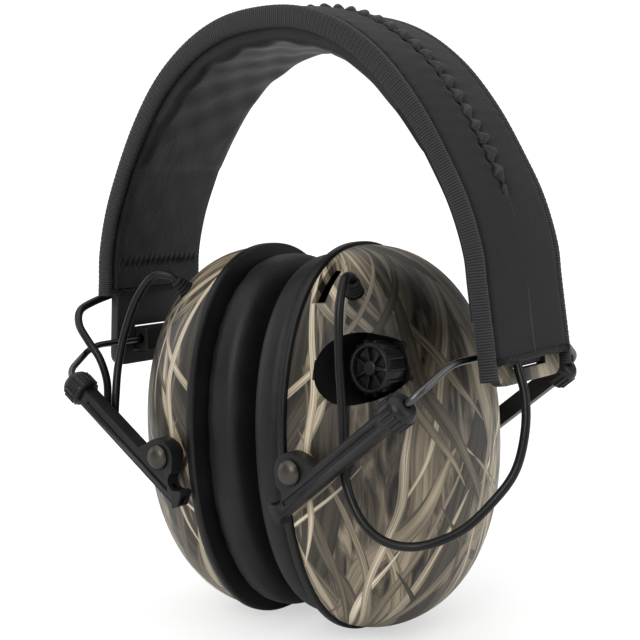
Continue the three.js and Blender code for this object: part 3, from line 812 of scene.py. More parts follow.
@dataclass(frozen=True)
class Moulded:
    """Plain moulded plastic or rubber with a grain, uneven gloss and faint scuffs."""

    name: str
    colour: Colour
    roughness: float = 0.5
    grain: float = 1400.0
    depth: float = 0.00006
    scuff: float = 0.06

    def make(self, library: Library) -> bpy.types.Material:
        """Builds the material.

        Args:
            library: The shared groups.

        Returns:
            The material.
        """
        material, paint, shader, _, grain = library.grained(self.name, self.grain)
        low = tuple(c * 0.8 for c in self.colour)
        high = tuple(c * 1.25 for c in self.colour)
        base = paint.ramp(grain["Uneven"], ((0.3, low), (0.7, high)))
        pale = tuple(min(1.0, c * 1.6 + 0.03) for c in self.colour)
        amount = paint.math("MULTIPLY", grain["Scuff"], self.scuff)
        paint.link(paint.mix(amount, base, (*pale, 1)), shader.inputs["Base Color"])
        low, high = max(0.05, self.roughness - 0.08), min(1.0, self.roughness + 0.1)
        library.gloss(paint, shader, grain["Uneven"], low, high)
        shader.inputs["Specular IOR Level"].default_value = 0.36
        library.bump(paint, shader, grain["Height"], 0.35, self.depth)
        return material


@dataclass(frozen=True)
class Leatherette:
    """Soft black vinyl with pebbled grain, a soft sheen and broad creases."""

    name: str
    colour: Colour = (0.012, 0.012, 0.013)
    roughness: float = 0.46
    crease: float = 1.0

    def make(self, library: Library) -> bpy.types.Material:
        """Builds the material.

        Args:
            library: The shared groups.

        Returns:
            The material.
        """
        material, paint, shader, where, grain = library.grained(self.name, 1500.0)
        high = tuple(c * 1.7 for c in self.colour)
        base = paint.ramp(grain["Uneven"], ((0.35, self.colour), (0.75, high)))
        paint.link(base, shader.inputs["Base Color"])
        library.gloss(paint, shader, grain["Uneven"], self.roughness - 0.06, self.roughness + 0.12)
        shader.inputs["Specular IOR Level"].default_value = 0.32
        shader.inputs["Sheen Weight"].default_value = 0.03
        creases = paint.node("ShaderNodeTexNoise", in_Scale=60.0, in_Detail=4.0, in_Distortion=0.8)
        paint.link(where, creases.inputs["Vector"])
        scaled = paint.math("MULTIPLY", creases.outputs["Fac"], 6.0 * self.crease)
        total = paint.math("ADD", grain["Height"], scaled)
        library.bump(paint, shader, total, 0.5, 0.00012)
        return material


@dataclass(frozen=True)
class Printed:
    """The dry-grass print on satin plastic."""

    name: str
    roughness: float
    tint: Colour = (1.34, 1.23, 1.05)

    def make(self, library: Library) -> bpy.types.Material:
        """Builds the material.

        Args:
            library: The shared groups.

        Returns:
            The material.
        """
        material, paint, shader, where, grain = library.grained(self.name, 1700.0)
        grass = paint.node("ShaderNodeGroup", node_tree=library.grass, in_Vector=where)
        lit = paint.mix(1.0, grass.outputs["Color"], (*self.tint, 1), "MULTIPLY")
        paint.link(lit, shader.inputs["Base Color"])
        library.gloss(paint, shader, grain["Uneven"], self.roughness - 0.07, self.roughness + 0.08)
        library.bump(paint, shader, grain["Height"], 0.15, 0.00004)
        return material


@dataclass(frozen=True)
class Cloth:
    """Plain black woven cloth with a faint sheen and uneven wear."""

    name: str
    colour: Colour = (0.0065, 0.0065, 0.007)
    roughness: float = 0.72

    def make(self, library: Library) -> bpy.types.Material:
        """Builds the material.

        Args:
            library: The shared groups.

        Returns:
            The material.
        """
        material, paint, shader, where, grain = library.grained(self.name, 1500.0)
        weave = paint.node("ShaderNodeGroup", node_tree=library.weave, in_Across=6500.0, in_Along=6500.0)
        paint.link(where, weave.inputs["Vector"])
        high = tuple(c * 1.9 for c in self.colour)
        base = paint.ramp(grain["Uneven"], ((0.32, self.colour), (0.72, high)))
        paint.link(base, shader.inputs["Base Color"])
        library.gloss(paint, shader, grain["Uneven"], self.roughness - 0.08, self.roughness + 0.1)
        shader.inputs["Specular IOR Level"].default_value = 0.3
        shader.inputs["Sheen Weight"].default_value = 0.06
        library.bump(paint, shader, weave.outputs["Height"], 0.45, 0.0001)
        return material


@dataclass(frozen=True)
class Ribbed:
    """Black woven tape with ribs across it and a painted highlight on each rib's crest."""

    name: str
    colour: Colour = (0.014, 0.014, 0.015)
    pitch: float = 0.72 * MM

    def make(self, library: Library) -> bpy.types.Material:
        """Builds the material.

        Args:
            library: The shared groups.

        Returns:
            The material.
        """
        material, paint, shader, where = library.blank(self.name)
        reach = paint.node("ShaderNodeAttribute", attribute_name="reach")
        threads = paint.node("ShaderNodeTexNoise", in_Scale=900.0, in_Detail=2.0, in_Vector=where)
        ribs = paint.math("SINE", paint.math("MULTIPLY", reach.outputs["Fac"], 2 * math.pi / self.pitch))
        height = paint.math("ADD", ribs, paint.math("MULTIPLY", threads.outputs["Fac"], 1.2))
        # Painted highlight: each rib's crest is painted up to three times lighter than the groove beside it.
        high = tuple(c * 3.0 for c in self.colour)
        share = paint.math("ADD", paint.math("MULTIPLY", ribs, 0.5), 0.5)
        base = paint.ramp(share, ((0.1, self.colour), (0.9, high)))
        paint.link(base, shader.inputs["Base Color"])
        shader.inputs["Roughness"].default_value = 0.72
        shader.inputs["Specular IOR Level"].default_value = 0.3
        shader.inputs["Sheen Weight"].default_value = 0.08
        library.bump(paint, shader, height, 0.6, 0.0001)
        return material


@dataclass(frozen=True)
class Metal:
    """Drawn or domed metal with fine scratches."""

    name: str
    colour: Colour
    roughness: float = 0.3

    def make(self, library: Library) -> bpy.types.Material:
        """Builds the material.

        Args:
            library: The shared groups.

        Returns:
            The material.
        """
        material, paint, shader, _, grain = library.grained(self.name, 2600.0)
        low = tuple(c * 0.75 for c in self.colour)
        base = paint.ramp(grain["Uneven"], ((0.3, low), (0.7, self.colour)))
        paint.link(base, shader.inputs["Base Color"])
        shader.inputs["Metallic"].default_value = 1.0
        library.gloss(paint, shader, grain["Uneven"], self.roughness - 0.1, self.roughness + 0.15)
        library.bump(paint, shader, grain["Height"], 0.15, 0.00002)
        return material


# ---- Curves ----


def smooth_line(points: Sequence[Vector], steps: int = 24) -> np.ndarray:
    """A centripetal Catmull-Rom curve through points, sampled evenly in each span.

    Args:
        points: The points it runs through.
        steps: Samples in each span.

    Returns:
        The samples, one to a row.
    """
    known = [2 * points[0] - points[1], *points, 2 * points[-1] - points[-2]]
    line: list[Vector] = []
    for a, b, c, d in zip(known, known[1:], known[2:], known[3:]):
        t1 = (b - a).length ** 0.5
        t2 = t1 + (c - b).length ** 0.5
        t3 = t2 + (d - c).length ** 0.5
        for i in range(steps):
            t = t1 + (t2 - t1) * i / steps
            ab = a * ((t1 - t) / t1) + b * (t / t1)
            bc = b * ((t2 - t) / (t2 - t1)) + c * ((t - t1) / (t2 - t1))
            cd = c * ((t3 - t) / (t3 - t2)) + d * ((t - t2) / (t3 - t2))
            abc = ab * ((t2 - t) / t2) + bc * (t / t2)
            bcd = bc * ((t3 - t) / (t3 - t1)) + cd * ((t - t1) / (t3 - t1))
            line.append(abc * ((t2 - t) / (t2 - t1)) + bcd * ((t - t1) / (t2 - t1)))
    line.append(points[-1])
    return np.array([tuple(p) for p in line])


@dataclass
class Line:
    """A sampled line that can be read by distance along it."""

    points: np.ndarray

    def __post_init__(self) -> None:
        """Measures the distance to each sample."""
        steps = np.linalg.norm(np.diff(self.points, axis=0), axis=1)
        self.reach = np.concatenate([[0.0], np.cumsum(steps)])
        self.length = float(self.reach[-1])

    def at(self, distance: float) -> Vector:
        """The point at a distance along the line."""
        return Vector([float(np.interp(distance, self.reach, self.points[:, k])) for k in range(3)])

    def part(self, low: float, high: float, count: int) -> list[Vector]:
        """Even points of a stretch of the line.

        Args:
            low: Distance at its start.
            high: Distance at its end.
            count: Number of spans.

        Returns:
            The points.
        """
        return [self.at(low + (high - low) * i / count) for i in range(count + 1)]


def tube(name: str, path: Sequence[Vector], radius: float, sides: int = 16) -> bpy.types.Object:
    """A round tube along a path, with its frame carried along without twist.

    Args:
        name: The object's name.
        path: Points of its middle line.
        radius: Its radius.
        sides: How many sides it has.

    Returns:
        The tube.
    """
    rings: list[list[Vector]] = []
    side = Vector((0, 0, 0))
    for i, point in enumerate(path):
        along = (path[min(i + 1, len(path) - 1)] - path[max(i - 1, 0)]).normalized()
        if i == 0:
            side = along.orthogonal().normalized()
        side = (side - along * side.dot(along)).normalized()
        other = along.cross(side)
        rings.append([point + (side * math.cos(a) + other * math.sin(a)) * radius for a in turns(sides)])
    return loft(name, rings)


def oval(half_width: float, half_height: float, count: int, power: float = 2.2) -> np.ndarray:
    """An ellipse-like outline with squarer corners for a larger power.

    Args:
        half_width: Half its size across.
        half_height: Half its size up.
        count: Number of points.
        power: How square it is.

    Returns:
        Y and Z offsets, one point to a row.
    """
    angles = 2 * np.pi * np.arange(count) / count
    c, s = np.cos(angles), np.sin(angles)
    across = half_width * np.sign(c) * np.abs(c) ** (2 / power)
    up = half_height * np.sign(s) * np.abs(s) ** (2 / power)
    return np.stack([across, up], 1)


def ripple(seed: int, count: int, smooth: int) -> np.ndarray:
    """A repeatable random wave between -1 and 1.

    Args:
        seed: Chooses the wave.
        count: Number of values.
        smooth: How many values each bump spans.

    Returns:
        The values.
    """
    raw = np.random.default_rng(seed).normal(size=count + 4 * smooth)
    kernel = np.hanning(2 * smooth + 1)
    wave = np.convolve(raw, kernel / kernel.sum(), mode="same")[2 * smooth: 2 * smooth + count]
    return wave / max(1e-9, float(np.abs(wave).max()))


# ---- The strap ----


@dataclass
class Strap:
    """The padded strap: cover, underside, bindings, seam and hems."""

    library: Library
    width: float = 37 * MM
    half_thickness: float = 3 * MM
    crown_height: float = 7.5 * MM
    pad_thickness: float = 4.2 * MM
    pad_end: float = -30 * MM
    binding_width: float = 2.6 * MM
    lean: float = math.tan(math.radians(6.3))
    arch_points: tuple[tuple[float, float], ...] = (
        (0, 7.5), (14, 6.1), (27, 1), (39, -8), (49.3, -20.5), (57.4, -34.2), (62.9, -45.5),
    )
    straight_heights: tuple[float, ...] = (-58, -66, -80, -99)
    sleeve_end: dict[str, float] = field(default_factory=lambda: {"near": -86.5 * MM, "far": -69 * MM})
    lining_end: float = -76 * MM
    stitches: float = -60 * MM
    gather_pitch: float = 4.6 * MM
    rib_pitch: float = 1.45 * MM

    def __post_init__(self) -> None:
        """Draws the middle line from the far end over the crown to the near end."""
        half = [Vector((x * MM, 0, z * MM)) for x, z in self.arch_points]
        half += [Vector((self.side_x(z * MM), 0, z * MM)) for z in self.straight_heights]
        mirrored = [Vector((-p.x, 0, p.z)) for p in reversed(half[1:])]
        self.line = Line(smooth_line(mirrored + half))

    def side_x(self, height: float) -> float:
        """How far out the strap's middle line is on its straight side at a height."""
        return 66 * MM + (-52 * MM - height) * self.lean

    def distance_at(self, height: float, side: Side) -> float:
        """How far along the middle line one half comes to a height.

        Args:
            height: The height.
            side: Which half.

        Returns:
            The distance from the line's far end.
        """
        middle = len(self.line.points) // 2
        rows = slice(0, middle + 1) if side is Side.FAR else slice(middle, None)
        heights, reach = self.line.points[rows, 2], self.line.reach[rows]
        if side is Side.NEAR:
            heights, reach = heights[::-1], reach[::-1]
        return float(np.interp(height, heights, reach))

    def frame(self, distance: float) -> tuple[Vector, Vector]:
        """The middle line's point and outward normal at a distance."""
        point = self.line.at(distance)
        along = (self.line.at(distance + 1.5 * MM) - self.line.at(distance - 1.5 * MM)).normalized()
        return point, Vector((-along.z, 0, along.x))

    def pad(self, height: float) -> float:
        """How thick the padding under the strap is at a height."""
        fade = max(0.0, (height - self.pad_end) / (self.crown_height - self.pad_end))
        return 0.5 * MM + (self.pad_thickness - 0.5 * MM) * math.sqrt(fade)

    def gathered(self, height: float) -> float:
        """How strongly the cover is gathered at a height: fully over the crown, not at all down the sides."""
        return min(1.0, max(0.0, (height + 47 * MM) / (6 * MM)))

    def distances(self, far: float, near: float, pitch: float) -> np.ndarray:
        """Even distances along the middle line between two heights.

        Args:
            far: The height where they start on the far half.
            near: The height where they end on the near half.
            pitch: About how far apart they are.

        Returns:
            The distances.
        """
        low, high = self.distance_at(far, Side.FAR), self.distance_at(near, Side.NEAR)
        return np.linspace(low, high, int((high - low) / pitch) + 1)

    def cover(self) -> bpy.types.Object:
        """The woven cover, gathered along its middle seam over the crown.

        Returns:
            The cover.
        """
        stations = self.distances(self.sleeve_end["far"], self.sleeve_end["near"], 0.8 * MM)
        phase = ripple(3, len(stations), 14) * 1.4
        swell = ripple(5, len(stations), 30)
        top = np.linspace(-1, 1, 41)
        bottom = np.linspace(0.97, -0.97, 9)
        rings: list[list[Vector]] = []
        for n, distance in enumerate(stations):
            point, out = self.frame(float(distance))
            wave = 0.5 + 0.5 * math.sin(2 * math.pi * distance / self.gather_pitch + phase[n])
            gathered = self.gathered(point.z)
            lined = point.z > self.lining_end or point.x < 0
            inner = -self.half_thickness * 0.95 if lined else 1.75 * MM
            ring = []
            for v in top:
                y = v * self.width / 2
                from_seam, from_edge = abs(y), self.width / 2 - abs(y)
                pucker = 0.9 * MM * gathered * (wave - 0.35) * math.exp(-from_seam / (3.4 * MM))
                gather = 0.12 * MM * math.sin(2 * math.pi * distance / (4.1 * MM) + 2 * phase[n] + 3 * v)
                gather *= (0.3 + 0.7 * gathered) * math.exp(-from_edge / (4 * MM))
                crown = 0.7 * MM * (1 - v * v) + 0.35 * MM * swell[n] * math.cos(2.4 * v)
                dip = 0.9 * MM * gathered * math.exp(-((from_seam / (1.8 * MM)) ** 2))
                edge = 0.9 * MM * max(0.0, (abs(v) - 0.93) / 0.07) ** 2
                reach = self.half_thickness + pucker + gather + crown - dip - edge
                ring.append(point + out * reach + Vector((0, y, 0)))
            ring += [point + out * inner + Vector((0, v * self.width / 2, 0)) for v in bottom]
            rings.append(ring)
        return loft("strap_cover", rings)

    def underside(self) -> bpy.types.Object:
        """The black padded underside, crowned across and creased near the crown.

        Returns:
            The padding.
        """
        stations = self.distances(self.sleeve_end["far"] + 1.5 * MM, self.lining_end + 1 * MM, 1.0 * MM)
        rings = []
        for distance in stations:
            point, out = self.frame(float(distance))
            deep = max(0.0, (point.z - self.pad_end) / (self.crown_height - self.pad_end))
            ring = []
            for v in np.linspace(-1, 1, 61):
                y = v * self.width / 2
                slant = distance + 0.9 * y
                crease = 0.28 * math.sin(slant / (3.4 * MM)) * math.sin(slant / (11 * MM) + 2.2 * v)
                crease += 0.15 * math.sin((distance - 0.6 * y) / (2.3 * MM))
                roll = max(0.0, (abs(v) - 0.8) / 0.2) ** 2
                depth = self.pad(point.z) * (1 - 0.45 * roll) + 1.3 * crease * MM * (0.25 + deep) * (1 - roll)
                row = math.exp(-(((point.z - self.stitches) / (1.5 * MM)) ** 2)) * (1 - roll)
                depth += row * (0.55 * math.sin(2 * math.pi * y / (2.3 * MM)) - 0.5) * MM
                ring.append(point - out * (self.half_thickness + depth) + Vector((0, y, 0)))
            ring += [
                point - out * (self.half_thickness * 0.6) + Vector((0, v * self.width / 2, 0))
                for v in np.linspace(1, -1, 7)
            ]
            rings.append(ring)
        return loft("strap_underside", rings)

    def binding(self, place: Place) -> bpy.types.Object:
        """One ribbed binding, rounded across, from sleeve end to sleeve end.

        Args:
            place: The front or the rear edge.

        Returns:
            The binding.
        """
        far, near = self.sleeve_end["far"] - 1 * MM, self.sleeve_end["near"] - 4 * MM
        stations = self.distances(far, near, 0.36 * MM)
        drift = ripple(9 + int(place.sign), len(stations), 40)
        rings = []
        for n, distance in enumerate(stations):
            point, out = self.frame(float(distance))
            low = -(1.6 * MM + 0.3 * self.pad(point.z))
            high = self.half_thickness + 0.2 * MM
            middle, half = (low + high) / 2, (high - low) / 2
            rib = 0.05 * MM * math.sin(2 * math.pi * distance / self.rib_pitch)
            outer = self.width / 2 + self.binding_width + 0.25 * MM * drift[n] + rib
            inner = self.width / 2 - 0.4 * MM
            ring = []
            for turn in turns(18):
                c, s = math.cos(turn), math.sin(turn)
                across = (outer + inner) / 2 + (outer - inner) / 2 * math.copysign(abs(c) ** 0.7, c)
                up = middle + (half + 0.5 * rib) * math.copysign(abs(s) ** 0.75, s)
                ring.append(point + out * up + Vector((0, place.sign * across, 0)))
            rings.append(ring)
        piece = loft(f"{place.label}_edge_binding", rings)
        spots = np.empty(len(piece.data.vertices) * 3)
        piece.data.vertices.foreach_get("co", spots)
        flat = spots.reshape(-1, 3)[:, (0, 2)]
        line = np.array([tuple(self.line.at(float(d)))[::2] for d in stations])
        nearest = np.array([int(np.argmin(((line - spot) ** 2).sum(1))) for spot in flat])
        reach = piece.data.attributes.new("reach", "FLOAT", "POINT")
        reach.data.foreach_set("value", stations[nearest])
        return piece

    def seam(self) -> bpy.types.Object:
        """The scalloped ridge of gathered cloth along the middle of the top.

        Returns:
            The ridge.
        """
        stations = self.distances(self.sleeve_end["far"] + 1 * MM, self.sleeve_end["near"] + 1 * MM, 0.5 * MM)
        sway = ripple(21, len(stations), 22)
        rings = []
        for n, distance in enumerate(stations):
            point, out = self.frame(float(distance))
            scallop = abs(math.sin(math.pi * distance / self.gather_pitch + 0.9 * sway[n])) ** 0.8
            gathered = self.gathered(point.z)
            height = ((0.25 + 1.55 * scallop) * gathered - 0.25 * (1 - gathered)) * MM
            half = (0.5 + 1.75 * scallop * gathered) * MM
            swing = math.sin(2 * math.pi * distance / self.gather_pitch)
            middle = (0.5 * sway[n] + 0.7 * gathered * swing) * MM
            ring = []
            for turn in turns(12):
                up = self.half_thickness + 0.35 * MM + height * math.sin(turn)
                ring.append(point + out * up + Vector((0, middle + half * math.cos(turn), 0)))
            rings.append(ring)
        return loft("gathered_seam", rings)

    def hem(self, side: Side) -> bpy.types.Object:
        """The rolled hem round the sleeve's open end.

        Args:
            side: Which end.

        Returns:
            The hem.
        """
        height = self.sleeve_end[side.label] + 0.6 * MM
        point, out = self.frame(self.distance_at(height, side))
        inner = -self.half_thickness if side is Side.FAR else 1.9 * MM
        outer = self.half_thickness + 0.35 * MM
        middle, half = (inner + outer) / 2, (outer - inner) / 2
        path = []
        count = 150
        for turn in turns(count):
            c, s = math.cos(turn), math.sin(turn)
            y = self.width / 2 * math.copysign(abs(c) ** 0.3, c)
            up = middle + half * math.copysign(abs(s) ** 0.4, s)
            path.append(point + out * up + Vector((0, y, 0.25 * MM * math.sin(14 * turn))))
        rings = []
        for k, spot in enumerate(path):
            along = (path[(k + 1) % count] - path[k - 1]).normalized()
            down = Vector((0, 0, 1))
            side_way = along.cross(down).normalized()
            radius = (0.75 + 0.14 * math.sin(k * 1.9)) * MM
            rings.append([spot + (side_way * math.cos(a) + down * math.sin(a)) * radius for a in turns(8)])
        return closed_loop(f"sleeve_hem_{side.label}", rings)

    def build(self) -> None:
        """Builds the strap and dresses it."""
        cloth = Cloth("cover_cloth").make(self.library)
        # The gathered seam's cloth is a lighter copy of the cover cloth: a painted highlight on the gathers.
        seam_cloth_painted_highlight = Cloth("gathered_cloth_painted_highlight", (0.016, 0.016, 0.0165), 0.5).make(self.library)
        tape = Ribbed("ribbed_tape").make(self.library)
        vinyl = Leatherette("crown_vinyl", crease=1.3).make(self.library)
        finish_piece(settle(self.cover(), "strap_cover", 60), cloth, "band", ["band_sleeve"])
        pad = settle(self.underside(), "strap_underside", 60)
        finish_piece(pad, vinyl, "band", ["crown_pad"])
        for place in Place:
            edge = settle(self.binding(place), f"{place.label}_edge_binding", 60)
            finish_piece(edge, tape, "band", [f"{place.label}_binding"])
        finish_piece(settle(self.seam(), "gathered_seam", 60), seam_cloth_painted_highlight, "band", ["crown_seam"])
        for side in Side:
            finish_piece(settle(self.hem(side), f"sleeve_hem_{side.label}", 60), cloth, "band")


# ---- Pieces that start from their CAD solids ----


def refined(
    node: bpy.types.Object,
    name: str,
    bevel: float,
    segments: int = 3,
    angle: float = 30.0,
) -> bpy.types.Object:
    """A copy of a CAD node with its loose triangles merged, flat faces joined and edges rounded.

    Args:
        node: The CAD node's object.
        name: The new piece's name.
        bevel: Width of the rounded edges.
        segments: Steps in each rounded edge.
        angle: Edges sharper than this many degrees are rounded.

    Returns:
        The piece.
    """
    data = node.data.copy()
    data.materials.clear()
    piece = bpy.data.objects.new(name, data)
    bpy.context.collection.objects.link(piece)
    activate(piece)
    bpy.ops.object.mode_set(mode="EDIT")
    bpy.ops.mesh.select_all(action="SELECT")
    bpy.ops.mesh.remove_doubles(threshold=2e-6)
    bpy.ops.mesh.dissolve_limited(angle_limit=math.radians(1.5))
    bpy.ops.object.mode_set(mode="OBJECT")
    round_edges(piece, bevel, segments, angle)
    return settle(piece, name)


# ---- Bails, arms, collars and rivets ----


@dataclass
class Yoke:
    """One side's wire bail with its two sliding arms, collars, rivets and bushes."""

    library: Library
    nodes: dict[str, bpy.types.Object]
    side: Side
    pivot: Point = (65.8 * MM, 0, -84.7 * MM)
    bail_half_width: float = 29 * MM
    arm_y: float = 42 * MM
    arm_top: Point = (58 * MM, 0, -95.5 * MM)
    slope: float = math.radians(36.4)
    arm_length: float = 50 * MM
    arm_thickness: float = 4.4 * MM
    leg_end: float = 44 * MM
    leg_top: float = -6.5 * MM
    corner: float = 4.5 * MM
    wire_radius: float = 1.0 * MM
    collar_radius: float = 4.75 * MM
    collar_length: float = 7 * MM
    rivet: Point = (24.2 * MM, 0, -113.5 * MM)
    rivet_head: float = 3.6 * MM

    def point(self, x: float, y: float, z: float) -> Vector:
        """A point of the near side, mirrored for the far side."""
        return Vector((self.side.sign * x, y, z))

    def along(self) -> Vector:
        """Down the arm, away from its collar."""
        return Vector((-self.side.sign * math.cos(self.slope), 0, -math.sin(self.slope)))

    def on_arm(self, distance: float, place: Place) -> Vector:
        """A point on an arm's middle line, measured down from the collar's middle."""
        x, _, z = self.arm_top
        return self.point(x, place.sign * self.arm_y, z) + self.along() * distance

    def bail(self) -> bpy.types.Object:
        """The bent wire from one arm's lower end through the clip to the other's.

        Returns:
            The wire.
        """
        x, _, z = self.pivot
        corners = [
            self.on_arm(self.leg_end, Place.FRONT),
            self.on_arm(self.leg_top, Place.FRONT),
            self.point(x, -self.bail_half_width, z),
            self.point(x, self.bail_half_width, z),
            self.on_arm(self.leg_top, Place.REAR),
            self.on_arm(self.leg_end, Place.REAR),
        ]
        path = [corners[0]]
        for before, here, after in zip(corners, corners[1:], corners[2:]):
            start = here + (before - here).normalized() * self.corner
            end = here + (after - here).normalized() * self.corner
            for i in range(13):
                t = i / 12
                path.append(start * (1 - t) ** 2 + here * (2 * t * (1 - t)) + end * t**2)
        path.append(corners[-1])
        return tube(f"bent_wire_{self.side.label}", path, self.wire_radius, 20)

    def arm(self, place: Place) -> bpy.types.Object:
        """A moulded arm with rounded edges and a groove down its outer face.

        Args:
            place: The front or the rear arm.

        Returns:
            The arm.
        """
        node = f"arm_{self.side.label}_{place.label}"
        face = place.sign * (self.arm_y + self.arm_thickness / 2)
        piece = refined(self.nodes[node], f"yoke_arm_{self.side.label}_{place.label}", 0.45 * MM, 3, 40)
        start = self.on_arm(6.5 * MM, place)
        length = self.arm_length - 11 * MM
        groove = slab((1.3 * MM, 0.9 * MM, length))
        turn = Vector((0, 0, 1)).rotation_difference(self.along()).to_matrix().to_4x4()
        middle = start + self.along() * length / 2
        middle.y = face
        groove.data.transform(Matrix.Translation(middle) @ turn)
        across = Vector((0, place.sign, 0))
        up = Vector((-self.side.sign * math.sin(self.slope), 0, math.cos(self.slope)))
        foot = self.on_arm(46.6 * MM, place) + up * 3.6 * MM - across * 6 * MM
        notch = pin(foot, across, 2.7 * MM, 12 * MM)
        cut(piece, [groove, notch])
        return settle(piece, piece.name)

    def collar(self, place: Place) -> bpy.types.Object:
        """The grip above an arm, with ribs standing round it.

        Args:
            place: The front or the rear arm.

        Returns:
            The grip.
        """
        foot = self.on_arm(self.collar_length / 2, place)
        up = -self.along()
        r, l = self.collar_radius, self.collar_length
        profile = [
            (2.0 * MM, 0), (r - 0.9 * MM, 0), (r - 0.45 * MM, 0.35 * MM), (r - 0.3 * MM, 0.9 * MM),
            (r - 0.3 * MM, l - 1.9 * MM), (r - 0.6 * MM, l - 1.1 * MM), (r - 1.3 * MM, l - 0.35 * MM),
            (r - 2.1 * MM, l), (1.2 * MM, l), (1.15 * MM, l - 0.6 * MM),
        ]
        piece = turned(f"grip_{self.side.label}_{place.label}", profile, foot, up)
        side_way = Vector((0, 1, 0))
        ribs = [piece]
        for turn in turns(16):
            out = Matrix.Rotation(turn, 3, up) @ side_way
            spot = foot + out * (r - 0.35 * MM) + up * (0.9 * MM)
            ribs.append(pin(spot, up, 0.42 * MM, l - 3 * MM, 8))
        join(ribs)
        return settle(piece, piece.name, 40)

    def stud(self, place: Place) -> bpy.types.Object:
        """A rivet with a shallow dome and a pressed ring.

        Args:
            place: The front or the rear arm.

        Returns:
            The rivet.
        """
        low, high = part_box(f"rivet_{self.side.label}_{place.label}")
        x, _, z = self.rivet
        inner, outer = (high.y, low.y) if place is Place.FRONT else (low.y, high.y)
        foot = self.point(x, inner, z)
        reach = abs(outer - inner)
        r = self.rivet_head
        profile = [
            (0.6 * MM, 0), (1.9 * MM, 0.1 * MM), (1.9 * MM, reach - 2.1 * MM),
            (r - 0.15 * MM, reach - 2.1 * MM), (r, reach - 1.9 * MM),
            (r * 0.97, reach - 1.55 * MM), (r * 0.86, reach - 1.0 * MM),
            (r * 0.68, reach - 0.5 * MM), (r * 0.45, reach - 0.16 * MM), (r * 0.2, reach - 0.02 * MM),
            (r * 0.03, reach),
        ]
        across = Vector((0, place.sign, 0))
        piece = turned(f"stud_{self.side.label}_{place.label}", profile, foot, across)
        return settle(piece, piece.name, 50)

    def build(self) -> None:
        """Builds one side's wire, arms, grips and studs, and dresses them."""
        label = self.side.label
        wire = Metal(f"drawn_wire_{label}", (0.11, 0.11, 0.115), 0.26).make(self.library)
        plastic = Moulded(f"arm_moulding_{label}", grey(0.014), 0.38).make(self.library)
        dome = Metal(f"stud_metal_{label}", (0.11, 0.103, 0.09), 0.42).make(self.library)
        rubber = Moulded(f"bush_rubber_{label}", grey(0.012), 0.6).make(self.library)
        bent = settle(self.bail(), f"bent_wire_{label}", 60)
        finish_piece(bent, wire, f"bail_{label}", [f"wire_bail_{label}"])
        for place in Place:
            suffix = f"{label}_{place.label}"
            finish_piece(self.arm(place), plastic, f"yoke_{label}", [f"arm_{suffix}"])
            finish_piece(self.collar(place), plastic, f"yoke_{label}", [f"collar_{suffix}"])
            finish_piece(self.stud(place), dome, f"yoke_{label}", [f"rivet_{suffix}"])
            bush = refined(self.nodes[f"pivot_bush_{suffix}"], f"bush_{suffix}", 0.3 * MM)
            finish_piece(bush, rubber, f"cup_{label}", [f"pivot_bush_{suffix}"])


def join(parts: Sequence[bpy.types.Object]) -> bpy.types.Object:
    """Joins pieces into the first one.

    Args:
        parts: The objects.

    Returns:
        The first object.
    """
    activate(parts[0])
    for part in parts[1:]:
        part.select_set(True)
    bpy.ops.object.join()
    return parts[0]


# ---- Cups ----


